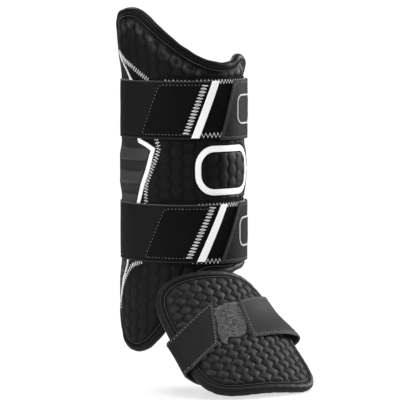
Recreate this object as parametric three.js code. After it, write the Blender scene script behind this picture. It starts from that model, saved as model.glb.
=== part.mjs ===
// Batter's leg guard: a quilted shin shell with two wrap straps, and a quilted foot pad with its own strap.
// Millimetres. +Z runs up the leg, -Y is ahead of the shin, -X is the outer side of the leg.
// The origin lies on the middle line of the leg, a little above the middle of the shell.
import * as THREE from 'three';

// Shin shell
const shellWidth = 137.2;
const shellDepth = 151.2;
const shellHeight = 392;
const shellWall = 9;
const shellFloor = 193.2;
const innerTurn = -74;
const outerTurn = 142;
const rearCornerRadius = 22;
const topLeanOut = 3.2;
const topLeanBack = 3.1;
const leanStart = 122;
const leanLength = 66;

// Quilting
const quiltSpacing = 14.3;
const quiltPeriod = 17;
const footQuiltSpacing = 12;
const footQuiltPeriod = 11.4;
const quiltDepth = 1.6;
const flatMargin = 9;
const leastStep = 1.2;

// Rolled bindings
const bindingWidth = 10.5;
const bindingProud = 0.3;
const bindingGap = 0.5;
const bindingPoints = 8;
const bindingSquareness = 0.6;

// What lies on the shell: patches, panel, piping and badge line
const layGap = 0.3;
const layProud = 0.2;
const pipingWidth = 5;
const panelThickness = 0.8;
const panelRib = 0.7;
const panelRibPitch = 26;
const badgeWidth = 90;
const badgeHeight = 56;
const badgeCorner = 20;
const badgeLine = 7;
const badgeShare = 0.5311;
const badgeCentre = heightAt(badgeShare);
const patchOverlap = 3.6;
const upperPatchBelow = 0;
const lowerPatchBelow = 2.4;
const patchStartTurn = -62;
const patchEndTurn = 66;
const patchStepTurn = 6;

// Leg straps
const strapWidth = 65.6;
const strapThickness = 1.5;
const strapLift = 0.6;
const pressDepth = 2;
const pressEase = 16;
const pressMargin = 3;
const upperStrapShare = 0.7056;
const lowerStrapShare = 0.35;
const upperStrapHeight = heightAt(upperStrapShare);
const lowerStrapHeight = heightAt(lowerStrapShare);
const strapStepTurn = 7.6;
const slantEaseTurn = 12;
const slantRowTurn = 5;

// Ribbons and grip tabs on the straps
const ribbonWidth = 10;
const ribbonThickness = 1;
const tabThickness = 1.5;
const tabOverhang = 3;
const tabRim = 1.2;
const tabEndTurn = -66;
const upperRibbonTopTurn = 10.6;
const upperRibbonBottomTurn = 32;
const lowerRibbonTopTurn = 3;
const lowerRibbonBottomTurn = 27.2;
const upperTabTopTurn = -4.6;
const upperTabBottomTurn = 11.1;
const lowerTabTopTurn = -13.2;
const lowerTabBottomTurn = 11.6;
const tabFrameWidth = 36;
const tabFrameHeight = 32;
const tabFrameCorner = 9;
const tabFrameLine = 2;
const tabFrameRise = 0.6;
const upperFrameTurn = -24;
const lowerFrameTurn = -28;

// Foot pad
const footLength = 175.7;
const footHalfWidth = 80.3;
const footWall = 9;
const footSideOffset = 38;
const footFrontOffset = 2.1;
const footTopShare = 0.25026;
const footHeadingAngle = 10;
const footSlopeAngle = 42.5;
const footCurlAngle = 7.5;
const topArchRadius = 130.9;
const toeArchRadius = 222.3;
const footSquareness = 4;
const footSkew = 3.5;
const footOutlinePoints = 60;
const footBindingWidth = 10;

// Foot strap and the loop pad under its ends
const footStrapThickness = 2;
const footStrapDrop = 54;
const outerRimBack = { across: 80, along: 80 };
const outerRimFront = { across: 78, along: 127 };
const innerRimBack = { across: -75.5, along: 31 };
const innerRimFront = { across: -84, along: 82 };
const outerEndBack = { across: 14.6, along: 45.4 };
const outerEndFront = { across: 36.2, along: 104 };
const innerEndBack = { across: -19.7, along: 47.1 };
const innerEndFront = { across: -11.3, along: 101.1 };
const loopPadWidth = 46;
const loopPadLength = 52;
const loopPadAlong = 69;

// Ankle link, the flexible tongue between shell and foot pad
const linkTurn = 15;
const linkHalfTurn = 15;
const linkAcross = -16;
const linkThickness = 2.4;
const linkHalfWidth = 19;
const linkGrip = 24;
const linkReach = 36;
const linkGap = 0.5;
const linkDip = 4;

// Top edge of the shell from the inner to the outer side: turn in degrees, height as a share of shellHeight
const topEdge = [
  { turn: -74, height: 0.795 },
  { turn: -60, height: 0.817 },
  { turn: -43, height: 0.842 },
  { turn: -33, height: 0.857 },
  { turn: -25, height: 0.865 },
  { turn: -19, height: 0.8655 },
  { turn: -15, height: 0.861 },
  { turn: -11, height: 0.8525 },
  { turn: -7, height: 0.846 },
  { turn: 0, height: 0.8425 },
  { turn: 8, height: 0.842 },
  { turn: 17, height: 0.846 },
  { turn: 25, height: 0.853 },
  { turn: 33, height: 0.864 },
  { turn: 40, height: 0.8775 },
  { turn: 47, height: 0.893 },
  { turn: 54.5, height: 0.9125 },
  { turn: 62, height: 0.9325 },
  { turn: 69.5, height: 0.954 },
  { turn: 77.5, height: 0.9745 },
  { turn: 86.5, height: 0.992 },
  { turn: 97, height: 1 },
  { turn: 111, height: 0.9965 },
  { turn: 122, height: 0.987 },
  { turn: 130, height: 0.973 },
  { turn: 136, height: 0.954 },
  { turn: 142, height: 0.93 },
];

// Bottom edge of the shell, with the flap that reaches down the outer side of the ankle
const bottomEdge = [
  { turn: -74, height: 0.256 },
  { turn: -60, height: 0.2485 },
  { turn: -43, height: 0.2435 },
  { turn: -15, height: 0.236 },
  { turn: -5, height: 0.23 },
  { turn: 16, height: 0.2297 },
  { turn: 25, height: 0.2265 },
  { turn: 31, height: 0.2155 },
  { turn: 38, height: 0.19 },
  { turn: 44, height: 0.159 },
  { turn: 50, height: 0.1265 },
  { turn: 56, height: 0.097 },
  { turn: 62, height: 0.0725 },
  { turn: 68, height: 0.05 },
  { turn: 74, height: 0.031 },
  { turn: 80, height: 0.016 },
  { turn: 87, height: 0.0054 },
  { turn: 95, height: 0 },
  { turn: 104, height: 0.0026 },
  { turn: 114, height: 0.016 },
  { turn: 120, height: 0.0318 },
  { turn: 124, height: 0.0478 },
  { turn: 130, height: 0.0665 },
  { turn: 136, height: 0.085 },
  { turn: 142, height: 0.1 },
];

// Line of the white piping, from the rear edge above to the rear edge below
const pipingLine = [
  { turn: 131, height: 0.872 },
  { turn: 122, height: 0.8497 },
  { turn: 113, height: 0.8204 },
  { turn: 103.3, height: 0.783 },
  { turn: 91.6, height: 0.6145 },
  { turn: 83, height: 0.604 },
  { turn: 75.6, height: 0.5915 },
  { turn: 78, height: 0.56 },
  { turn: 81.5, height: 0.525 },
  { turn: 91.6, height: 0.4505 },
  { turn: 103.3, height: 0.337 },
  { turn: 113, height: 0.245 },
  { turn: 122, height: 0.179 },
  { turn: 130, height: 0.134 },
];

const quiltLow = -quiltDepth;
const layBottom = quiltLow + layGap;
const strapTop = strapLift + strapThickness;
const arcPerDegree = (Math.PI * (shellWidth + shellDepth)) / 4 / 180;
const radians = THREE.MathUtils.degToRad;

function heightAt(share) {
  return share * shellHeight - shellFloor;
}

// A smooth curve through the rows of a table, read at one place of the named column.
function readTable(rows, placeColumn, valueColumn, place) {
  let row = 0;
  while (row < rows.length - 2 && place > rows[row + 1][placeColumn]) {
    row += 1;
  }
  const slopeAt = (index) => {
    const before = rows[Math.max(0, index - 1)];
    const after = rows[Math.min(rows.length - 1, index + 1)];
    return (after[valueColumn] - before[valueColumn]) / (after[placeColumn] - before[placeColumn]);
  };
  const from = rows[row];
  const to = rows[row + 1];
  const length = to[placeColumn] - from[placeColumn];
  const t = THREE.MathUtils.clamp((place - from[placeColumn]) / length, 0, 1);
  const ease = t * t * (3 - 2 * t);
  const startBend = slopeAt(row) * length * t * (1 - t) * (1 - t);
  const endBend = slopeAt(row + 1) * length * t * t * (t - 1);
  return from[valueColumn] * (1 - ease) + to[valueColumn] * ease + startBend + endBend;
}

// How far the soft shell and all that lies on it are pressed in by the straps at one height.
function pressAt(height) {
  const band = strapWidth / 2 + patchOverlap + pressMargin;
  const nearest = Math.min(Math.abs(height - upperStrapHeight), Math.abs(height - lowerStrapHeight));
  return pressDepth * (1 - THREE.MathUtils.clamp((nearest - band) / pressEase, 0, 1));
}

// A point of the leg's oval: turn from the front towards the outer side, height, and distance outwards.
function wallPoint(turn, height, out) {
  const angle = radians(turn);
  const halfWidth = shellWidth / 2;
  const halfDepth = shellDepth / 2;
  const x = -halfWidth * Math.sin(angle);
  const y = -halfDepth * Math.cos(angle);
  const normal = new THREE.Vector2(x / (halfWidth * halfWidth), y / (halfDepth * halfDepth)).normalize();
  const lean = THREE.MathUtils.smoothstep(height, leanStart, leanStart + leanLength);
  const reach = out - pressAt(height);
  return new THREE.Vector3(
    x + normal.x * reach - lean * topLeanOut,
    y + normal.y * reach + lean * topLeanBack,
    height,
  );
}

// The same, from the arc along the girth in place of the turn.
function shellPlace(arc, height, out) {
  return wallPoint(arc / arcPerDegree, height, out);
}

const footHeading = radians(footHeadingAngle);
const footAhead = new THREE.Vector3(-Math.sin(footHeading), -Math.cos(footHeading), 0);
const footSide = new THREE.Vector3(-Math.cos(footHeading), Math.sin(footHeading), 0);
const upwards = new THREE.Vector3(0, 0, 1);

// The ridge of the foot pad, and the direction that its crown faces, at one length from its top edge.
function footRidge(along) {
  const part = along / footLength;
  const meanSlope = radians(footSlopeAngle + footCurlAngle * (0.5 - part / 2));
  const slope = radians(footSlopeAngle + footCurlAngle * (0.5 - part));
  const base = new THREE.Vector3(-footSideOffset, -shellDepth / 2 - footFrontOffset, heightAt(footTopShare))
    .addScaledVector(footAhead, along * Math.cos(meanSlope))
    .addScaledVector(upwards, -along * Math.sin(meanSlope));
  const crown = footAhead.clone().multiplyScalar(Math.sin(slope)).addScaledVector(upwards, Math.cos(slope));
  const radius = THREE.MathUtils.lerp(topArchRadius, toeArchRadius, part);
  return { base, crown, radius };
}

// A point of the foot pad: arc to the outer side of its ridge, length from its top edge, distance outwards.
function footPlace(across, along, out) {
  const { base, crown, radius } = footRidge(along);
  const angle = across / radius;
  const reach = radius + out;
  return base
    .addScaledVector(footSide, reach * Math.sin(angle))
    .addScaledVector(crown, reach * Math.cos(angle) - radius);
}

// A geometry from its corners and faces, turned so that the faces point out.
function closedGeometry(corners, faces) {
  let sum = 0;
  const product = new THREE.Vector3();
  for (const [a, b, c] of faces) {
    sum += product.crossVectors(corners[a], corners[b]).dot(corners[c]);
  }
  const turned = sum > 0 ? faces : faces.map(([a, b, c]) => [a, c, b]);
  const geometry = new THREE.BufferGeometry();
  geometry.setAttribute('position', new THREE.Float32BufferAttribute(corners.flatMap((p) => p.toArray()), 3));
  geometry.setIndex(turned.flat());
  geometry.computeVertexNormals();
  return geometry;
}

// The way to the left of a path at one of its points, lengthened so that both neighbouring sides keep their width.
function leftOf(path, closed, index) {
  const count = path.length;
  const here = path[index];
  const before = closed ? path[(index + count - 1) % count] : path[Math.max(0, index - 1)];
  const after = closed ? path[(index + 1) % count] : path[Math.min(count - 1, index + 1)];
  const arriving = here.clone().sub(before).normalize();
  const leaving = after.clone().sub(here).normalize();
  const travel = arriving.clone().add(leaving).normalize();
  const side = arriving.lengthSq() > leaving.lengthSq() / 2 ? arriving : leaving;
  return new THREE.Vector2(-travel.y, travel.x).divideScalar(travel.dot(side));
}

// A path moved to its left by a width. A closed anticlockwise path is drawn inwards.
function besidePath(path, closed, width) {
  return path.map((point, index) => point.clone().addScaledVector(leftOf(path, closed, index), width));
}

// Where an upright line cuts a closed loop: its lowest and highest crossing.
function crossings(loop, x) {
  const heights = [];
  loop.forEach((point, index) => {
    const next = loop[(index + 1) % loop.length];
    if ((point.x <= x) !== (next.x <= x)) {
      const share = (x - point.x) / (next.x - point.x);
      heights.push(point.y + share * (next.y - point.y));
    }
  });
  return { low: Math.min(...heights), high: Math.max(...heights) };
}

// A closed sheet between an outer face of uneven columns and an inner face at one distance.
// Each column is a list of points with x, y and out, from its low end to its high end.
function sheetSolid(columns, place, innerOut, innerEvery = 1) {
  const corners = [];
  const faces = [];
  const add = (point, out) => {
    corners.push(place(point.x, point.y, out));
    return { index: corners.length - 1, y: point.y };
  };
  const lastColumn = columns.length - 1;
  const outer = columns.map((column) => column.map((point) => add(point, point.out)));
  const inner = columns.map((column, which) => {
    const border = which === 0 || which === lastColumn;
    const last = column.length - 1;
    const kept = column.filter((point, row) => border || row % innerEvery === 0 || row === last);
    return kept.map((point) => add(point, innerOut));
  });
  const zip = (left, right, outside) => {
    let i = 0;
    let j = 0;
    while (i < left.length - 1 || j < right.length - 1) {
      const leftNext = i < left.length - 1 ? left[i + 1].y : Infinity;
      const rightNext = j < right.length - 1 ? right[j + 1].y : Infinity;
      const stepLeft = leftNext <= rightNext;
      const third = stepLeft ? left[i + 1].index : right[j + 1].index;
      const face = [left[i].index, third, right[j].index];
      faces.push(outside ? face : [face[0], face[2], face[1]]);
      i += stepLeft ? 1 : 0;
      j += stepLeft ? 0 : 1;
    }
  };
  const wall = (a, b, c, d) => {
    faces.push([a.index, b.index, c.index]);
    faces.push([a.index, c.index, d.index]);
  };
  for (let k = 0; k < lastColumn; k += 1) {
    zip(outer[k], outer[k + 1], true);
    zip(inner[k], inner[k + 1], false);
    wall(outer[k][0], outer[k + 1][0], inner[k + 1][0], inner[k][0]);
    wall(outer[k + 1].at(-1), outer[k].at(-1), inner[k].at(-1), inner[k + 1].at(-1));
  }
  for (let row = 0; row < outer[0].length - 1; row += 1) {
    wall(outer[0][row + 1], outer[0][row], inner[0][row], inner[0][row + 1]);
  }
  const end = outer[lastColumn];
  for (let row = 0; row < end.length - 1; row += 1) {
    wall(end[row], end[row + 1], inner[lastColumn][row + 1], inner[lastColumn][row]);
  }
  return closedGeometry(corners, faces);
}

// Columns that fill a closed loop, upright at the given places, with rows at even heights.
// outAt gives the distance outwards of a row, or nothing where the row isn't needed.
function loopColumns(loop, places, rise, borderOut, outAt) {
  const columns = [];
  for (const x of places) {
    const { low, high } = crossings(loop, x);
    const column = [{ x, y: low, out: borderOut }];
    for (let j = Math.ceil((low + rise / 3) / rise); j * rise < high - rise / 3; j += 1) {
      const out = outAt(x, j);
      if (out !== undefined) {
        column.push({ x, y: j * rise, out });
      }
    }
    column.push({ x, y: high, out: borderOut });
    columns.push(column);
  }
  const border = (inside) => loop
    .filter(inside)
    .sort((a, b) => a.y - b.y)
    .map((point) => ({ x: point.x, y: point.y, out: borderOut }));
  columns.unshift(border((point) => point.x < places[0] - leastStep));
  columns.push(border((point) => point.x > places.at(-1) + leastStep));
  return columns;
}

// Columns of a quilted sheet: raised cells in staggered rows, with low seams between them.
function quiltColumns(loop, spacing, period, isFlat) {
  const step = spacing / 2;
  const rise = period / 2;
  const outAt = (x, j) => {
    const k = Math.round(x / step);
    const flat = isFlat(x, j * rise);
    const flatBeside = isFlat(x, (j + 1) * rise) && isFlat(x, (j - 1) * rise);
    const raised = !flat && k % 2 === 0 && (j + k / 2) % 2 === 0;
    const bends = pressAt((j + 1) * rise) !== pressAt((j - 1) * rise) || j * rise > leanStart;
    const needed = !flat || !flatBeside || bends || j % 2 === 0;
    const height = raised ? 0 : quiltLow;
    return needed ? height : undefined;
  };
  const least = Math.min(...loop.map((point) => point.x));
  const most = Math.max(...loop.map((point) => point.x));
  const places = [];
  for (let k = Math.ceil(least / step + 0.3); k * step <= most - 0.3 * step; k += 1) {
    places.push(k * step);
  }
  return loopColumns(loop, places, rise, quiltLow, outAt);
}

// A section swept along a flat path that is then laid on a surface. The section lists points with across and out.
function sweepSolid(path, closed, section, place) {
  const corners = [];
  const faces = [];
  const count = path.length;
  const sides = section.length;
  path.forEach((point, index) => {
    const normal = leftOf(path, closed, index);
    section.forEach(({ across, out }) => {
      corners.push(place(point.x + normal.x * across, point.y + normal.y * across, out));
    });
  });
  const rounds = closed ? count : count - 1;
  for (let step = 0; step < rounds; step += 1) {
    const here = step * sides;
    const next = ((step + 1) % count) * sides;
    for (let side = 0; side < sides; side += 1) {
      const beside = (side + 1) % sides;
      faces.push([here + side, here + beside, next + beside]);
      faces.push([here + side, next + beside, next + side]);
    }
  }
  if (!closed) {
    const end = (count - 1) * sides;
    for (let side = 1; side < sides - 1; side += 1) {
      faces.push([0, side + 1, side]);
      faces.push([end, end + side, end + side + 1]);
    }
  }
  return closedGeometry(corners, faces);
}

// A sheet of even thickness whose middle surface is a grid of points.
function clothSolid(grid, thickness) {
  const rows = grid.length;
  const across = grid[0].length;
  const offset = (row, column, side) => {
    const along = grid[Math.min(rows - 1, row + 1)][column].clone().sub(grid[Math.max(0, row - 1)][column]);
    const over = grid[row][Math.min(across - 1, column + 1)].clone().sub(grid[row][Math.max(0, column - 1)]);
    const normal = over.cross(along).normalize();
    return grid[row][column].clone().addScaledVector(normal, (side * thickness) / 2);
  };
  const corners = [];
  for (const side of [1, -1]) {
    for (let row = 0; row < rows; row += 1) {
      for (let column = 0; column < across; column += 1) {
        corners.push(offset(row, column, side));
      }
    }
  }
  const at = (row, column, side) => (side > 0 ? 0 : rows * across) + row * across + column;
  const faces = [];
  const quad = (a, b, c, d) => {
    faces.push([a, b, c]);
    faces.push([a, c, d]);
  };
  for (let row = 0; row < rows - 1; row += 1) {
    for (let column = 0; column < across - 1; column += 1) {
      quad(at(row, column, 1), at(row, column + 1, 1), at(row + 1, column + 1, 1), at(row + 1, column, 1));
      quad(at(row, column, -1), at(row + 1, column, -1), at(row + 1, column + 1, -1), at(row, column + 1, -1));
    }
    const edge = across - 1;
    quad(at(row, 0, 1), at(row + 1, 0, 1), at(row + 1, 0, -1), at(row, 0, -1));
    quad(at(row + 1, edge, 1), at(row, edge, 1), at(row, edge, -1), at(row + 1, edge, -1));
  }
  for (let column = 0; column < across - 1; column += 1) {
    const end = rows - 1;
    quad(at(0, column + 1, 1), at(0, column, 1), at(0, column, -1), at(0, column + 1, -1));
    quad(at(end, column, 1), at(end, column + 1, 1), at(end, column + 1, -1), at(end, column, -1));
  }
  return closedGeometry(corners, faces);
}

// The same path with points added, so that no step is longer than a given length.
function finerPath(path, closed, longest) {
  const finer = [];
  path.forEach((point, index) => {
    if (!closed && index === path.length - 1) {
      finer.push(point);
      return;
    }
    const next = path[(index + 1) % path.length];
    const pieces = Math.max(1, Math.ceil(point.distanceTo(next) / longest));
    for (let piece = 0; piece < pieces; piece += 1) {
      finer.push(point.clone().lerp(next, piece / pieces));
    }
  });
  return finer;
}

// A closed path round a rectangle with round corners, drawn anticlockwise.
function roundedPath(centreX, centreY, width, height, corner, cornerSteps, longest) {
  const path = [];
  const signs = [[1, -1], [1, 1], [-1, 1], [-1, -1]];
  signs.forEach(([signX, signY], quarter) => {
    for (let step = 0; step <= cornerSteps; step += 1) {
      const angle = ((quarter - 1 + step / cornerSteps) * Math.PI) / 2;
      path.push(new THREE.Vector2(
        centreX + signX * (width / 2 - corner) + corner * Math.cos(angle),
        centreY + signY * (height / 2 - corner) + corner * Math.sin(angle),
      ));
    }
  });
  return finerPath(path, true, longest);
}

// The shell's edge laid flat, as arc and height, anticlockwise from the foot of its inner rear edge.
function shellLoop() {
  const start = innerTurn * arcPerDegree;
  const finish = outerTurn * arcPerDegree;
  const edge = (table, side) => (arc) => {
    const height = heightAt(readTable(table, 'turn', 'height', arc / arcPerDegree));
    const inset = Math.max(0, rearCornerRadius - Math.min(arc - start, finish - arc));
    const fall = rearCornerRadius - Math.sqrt(rearCornerRadius ** 2 - inset ** 2);
    return height - side * fall;
  };
  const arcs = [];
  const cornerShares = [0, 0.034, 0.134, 0.293, 0.5, 0.741];
  cornerShares.forEach((share) => arcs.push(start + share * rearCornerRadius));
  const plain = finish - start - 2 * rearCornerRadius;
  const steps = Math.round(plain / (quiltSpacing / 2));
  for (let step = 0; step <= steps; step += 1) {
    arcs.push(start + rearCornerRadius + (plain * step) / steps);
  }
  cornerShares.reverse().forEach((share) => arcs.push(finish - share * rearCornerRadius));
  const bottom = edge(bottomEdge, -1);
  const top = edge(topEdge, 1);
  const loop = arcs.map((arc) => new THREE.Vector2(arc, bottom(arc)));
  const band = strapWidth / 2 + patchOverlap + pressMargin;
  const knots = [upperStrapHeight, lowerStrapHeight].flatMap((centre) => [
    centre - band - pressEase, centre - band, centre, centre + band, centre + band + pressEase,
  ]);
  const addRear = (arc, from, to) => {
    const low = Math.min(from, to) + leastStep;
    const high = Math.max(from, to) - leastStep;
    const used = knots.filter((height) => height > low && height < high).sort((a, b) => a - b);
    const ends = [low - leastStep, ...used, high + leastStep].map((height) => new THREE.Vector2(arc, height));
    const rising = finerPath(ends, false, 2 * rearCornerRadius).slice(1, -1);
    loop.push(...(to > from ? rising : rising.reverse()));
  };
  addRear(finish, bottom(finish), top(finish));
  arcs.reverse().forEach((arc) => loop.push(new THREE.Vector2(arc, top(arc))));
  addRear(start, top(start), bottom(start));
  return loop;
}

// The foot pad's edge laid flat, as arc across and length along.
function footLoop() {
  const loop = [];
  for (let step = 0; step < footOutlinePoints; step += 1) {
    const angle = (2 * Math.PI * step) / footOutlinePoints;
    const across = Math.sign(Math.cos(angle)) * Math.abs(Math.cos(angle)) ** (2 / footSquareness);
    const along = Math.sign(Math.sin(angle)) * Math.abs(Math.sin(angle)) ** (2 / footSquareness);
    const toeward = (1 + along) / 2;
    const skew = footSkew * across * toeward;
    loop.push(new THREE.Vector2(across * footHalfWidth, toeward * footLength - skew));
  }
  return loop;
}

// Section of a rolled binding over a wall, from its outer edge inwards.
function bindingSection(width, wallThickness) {
  const middle = -wallThickness / 2;
  const halfThickness = wallThickness / 2 + bindingProud;
  const section = [];
  for (let side = 0; side < bindingPoints; side += 1) {
    const angle = ((side + 0.5) * 2 * Math.PI) / bindingPoints;
    const across = Math.sign(Math.cos(angle)) * Math.abs(Math.cos(angle)) ** bindingSquareness;
    const out = Math.sign(Math.sin(angle)) * Math.abs(Math.sin(angle)) ** bindingSquareness;
    section.push({ across: (width / 2) * (1 + across), out: middle + halfThickness * out });
  }
  return section;
}

// A flat raised line laid on a surface.
function lineSection(width, bottom, top) {
  const half = width / 2;
  return [
    { across: -half, out: bottom },
    { across: half, out: bottom },
    { across: half, out: top },
    { across: -half, out: top },
  ];
}

function pipingArc(height) {
  const share = (height + shellFloor) / shellHeight;
  const rising = [...pipingLine].reverse();
  let row = 0;
  while (row < rising.length - 2 && share > rising[row + 1].height) {
    row += 1;
  }
  const from = rising[row];
  const to = rising[row + 1];
  const part = THREE.MathUtils.clamp((share - from.height) / (to.height - from.height), 0, 1);
  return THREE.MathUtils.lerp(from.turn, to.turn, part) * arcPerDegree;
}

const pipingTop = heightAt(pipingLine[0].height);
const pipingBottom = heightAt(pipingLine.at(-1).height);

// Where the shell is left flat: under the patches, the badge line, the piping and the panel behind it.
function isShellFlat(arc, height) {
  const patchHalf = strapWidth / 2 + patchOverlap + flatMargin;
  const underPatch = (centre) => Math.abs(height - centre) < patchHalf && arc < 75 * arcPerDegree;
  const besideBadge = Math.abs(arc) < badgeWidth / 2 + flatMargin;
  const overBadge = Math.abs(height - badgeCentre) < badgeHeight / 2 + flatMargin;
  const inBadgeX = Math.abs(arc) < badgeWidth / 2 - badgeLine - flatMargin;
  const inBadgeY = Math.abs(height - badgeCentre) < badgeHeight / 2 - badgeLine - flatMargin;
  const underBadge = besideBadge && overBadge && !(inBadgeX && inBadgeY);
  const behindPiping = height < pipingTop + 2 * flatMargin
    && height > pipingBottom - 2 * flatMargin
    && arc > Math.min(pipingArc(height), pipingArc(height + flatMargin), pipingArc(height - flatMargin))
      - pipingWidth / 2 - flatMargin;
  return underPatch(upperStrapHeight) || underPatch(lowerStrapHeight) || underBadge || behindPiping;
}

// A band round part of the leg, whose two ends may slant. The slant eases away behind each end.
function bandColumns(low, high, startTurns, endTurns, step, out) {
  const ease = (ends, direction) => {
    const furthest = direction > 0 ? Math.max(ends.top, ends.bottom) : Math.min(ends.top, ends.bottom);
    return { top: furthest + direction * slantEaseTurn, bottom: furthest + direction * slantEaseTurn };
  };
  const startEased = ease(startTurns, 1);
  const endEased = ease(endTurns, -1);
  const stations = [startTurns];
  if (startEased.top < endEased.top) {
    stations.push(startEased, endEased);
  }
  stations.push(endTurns);
  const columns = [];
  const addColumn = (bottom, top) => {
    const rows = 1 + Math.ceil(Math.abs(top - bottom) / slantRowTurn);
    const column = [];
    for (let row = 0; row <= rows; row += 1) {
      const turn = THREE.MathUtils.lerp(bottom, top, row / rows);
      column.push({ x: turn * arcPerDegree, y: THREE.MathUtils.lerp(low, high, row / rows), out });
    }
    columns.push(column);
  };
  for (let leg = 0; leg < stations.length - 1; leg += 1) {
    const from = stations[leg];
    const to = stations[leg + 1];
    const count = Math.ceil(Math.max(to.bottom - from.bottom, to.top - from.top) / step);
    for (let k = leg === 0 ? 0 : 1; k <= count; k += 1) {
      const part = k / count;
      addColumn(THREE.MathUtils.lerp(from.bottom, to.bottom, part), THREE.MathUtils.lerp(from.top, to.top, part));
    }
  }
  return columns;
}

// A patch under a strap, kept inside the shell's own border.
function patchColumns(centre, below, startTurn, endTurn, border) {
  const count = Math.ceil((endTurn - startTurn) / patchStepTurn);
  const columns = [];
  for (let k = 0; k <= count; k += 1) {
    const x = THREE.MathUtils.lerp(startTurn, endTurn, k / count) * arcPerDegree;
    const limits = crossings(border, x);
    const low = Math.max(centre - strapWidth / 2 - below, limits.low + 2 * layGap);
    const high = Math.min(centre + strapWidth / 2 + patchOverlap, limits.high - 2 * layGap);
    columns.push([{ x, y: low, out: layProud }, { x, y: high, out: layProud }]);
  }
  return columns;
}

// The moulded side panel between the piping and the rear binding, with plain level ribs.
function sidePanelColumns(pipingCorners) {
  const rear = outerTurn * arcPerDegree - bindingWidth - 2 * bindingGap;
  const beside = besidePath(pipingCorners, false, pipingWidth / 2 + layGap);
  const front = beside.filter((point) => point.x < rear - pipingWidth / 2);
  const low = front.at(-1).y + pipingWidth / 2;
  const high = front[0].y - pipingWidth / 2;
  const back = finerPath([new THREE.Vector2(rear, low), new THREE.Vector2(rear, high)], false, quiltPeriod / 2);
  const corners = front.map((point) => point.x).sort((a, b) => a - b);
  const places = [corners[0] + 2 * leastStep];
  for (const corner of [...corners, rear - 2 * leastStep]) {
    const from = places.at(-1);
    const pieces = corner - from > leastStep ? Math.ceil((corner - from) / (quiltSpacing / 2)) : 0;
    for (let piece = 1; piece <= pieces; piece += 1) {
      places.push(THREE.MathUtils.lerp(from, corner, piece / pieces));
    }
  }
  const smooth = layBottom + panelThickness;
  const ribRows = 4;
  const raisedRows = ribRows / 2;
  const ribAt = (x, j) => (((j % ribRows) + ribRows) % ribRows < raisedRows ? smooth + panelRib : smooth);
  return loopColumns([...front, ...back], places, panelRibPitch / ribRows, smooth, ribAt);
}

// The foot strap: it lies on the pad from each end to the pad's edge, rounds the edge and passes below.
function footStrapGrid() {
  const lift = strapLift + footStrapThickness / 2;
  const roundRadius = lift + footWall / 2;
  const crossShares = [0, 0.5, 1];
  const topSteps = 9;
  const roundSteps = 5;
  const underSteps = 16;
  const roundAngle = 125;
  const between = (back, front, share) => ({
    across: THREE.MathUtils.lerp(back.across, front.across, share),
    along: THREE.MathUtils.lerp(back.along, front.along, share),
  });
  const half = (side, endBack, endFront, rimBack, rimFront) => {
    const rows = [];
    for (let step = 0; step <= topSteps; step += 1) {
      rows.push(crossShares.map((share) => {
        const point = between(between(endBack, endFront, share), between(rimBack, rimFront, share), step / topSteps);
        return footPlace(point.across, point.along, lift);
      }));
    }
    for (let step = 1; step <= roundSteps; step += 1) {
      const angle = radians(90 - (roundAngle * step) / roundSteps);
      rows.push(crossShares.map((share) => {
        const rim = between(rimBack, rimFront, share);
        const across = rim.across + side * roundRadius * Math.cos(angle);
        return footPlace(across, rim.along, roundRadius * Math.sin(angle) - footWall / 2);
      }));
    }
    return rows;
  };
  const outerHalf = half(1, outerEndBack, outerEndFront, outerRimBack, outerRimFront);
  const innerHalf = half(-1, innerEndBack, innerEndFront, innerRimBack, innerRimFront).reverse();
  const curves = crossShares.map((share, place) => {
    const outerRim = between(outerRimBack, outerRimFront, share);
    const innerRim = between(innerRimBack, innerRimFront, share);
    const { base, crown } = footRidge((outerRim.along + innerRim.along) / 2);
    const low = base.addScaledVector(crown, -footStrapDrop);
    const start = outerHalf.at(-1)[place];
    const before = outerHalf.at(-2)[place];
    const end = innerHalf[0][place];
    const after = innerHalf[1][place];
    const reach = footHalfWidth / 2;
    const startPull = start.clone().addScaledVector(start.clone().sub(before).normalize(), reach);
    const endPull = end.clone().addScaledVector(end.clone().sub(after).normalize(), reach);
    const level = end.clone().sub(start).normalize();
    const lowBefore = low.clone().addScaledVector(level, -reach);
    const lowAfter = low.clone().addScaledVector(level, reach);
    const path = new THREE.CurvePath();
    path.add(new THREE.CubicBezierCurve3(start, startPull, lowBefore, low));
    path.add(new THREE.CubicBezierCurve3(low, lowAfter, endPull, end));
    return path;
  });
  const under = [];
  for (let step = 1; step < underSteps; step += 1) {
    under.push(curves.map((curve) => curve.getPoint(step / underSteps)));
  }
  return [...outerHalf, ...under, ...innerHalf];
}

// The ankle link: down inside the shell's lower edge, forward below it and under the top of the foot pad.
function ankleLinkGrid() {
  const half = linkThickness / 2;
  const inside = -shellWall - bindingProud - linkGap - half;
  const underPad = -footWall - bindingProud - linkGap - half;
  const rows = 15;
  const shares = [-1, -0.5, 0, 0.5, 1];
  const lines = shares.map((share) => {
    const turn = linkTurn + share * linkHalfTurn;
    const across = linkAcross + share * linkHalfWidth;
    const floor = heightAt(readTable(bottomEdge, 'turn', 'height', turn));
    const points = [
      wallPoint(turn, floor + linkGrip, inside),
      wallPoint(turn, floor + linkGrip / 3, inside),
      wallPoint(turn, floor - half - linkGap, inside + 2 * linkGap),
      wallPoint(turn, floor - linkThickness - linkDip, -shellWall / 3),
      footPlace(across, linkReach / 6, underPad - linkDip / 2),
      footPlace(across, linkReach / 2, underPad),
      footPlace(across, linkReach, underPad),
    ];
    return new THREE.CatmullRomCurve3(points, false, 'centripetal');
  });
  const grid = [];
  for (let row = 0; row <= rows; row += 1) {
    grid.push(lines.map((line) => line.getPoint(row / rows)));
  }
  return grid;
}

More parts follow.
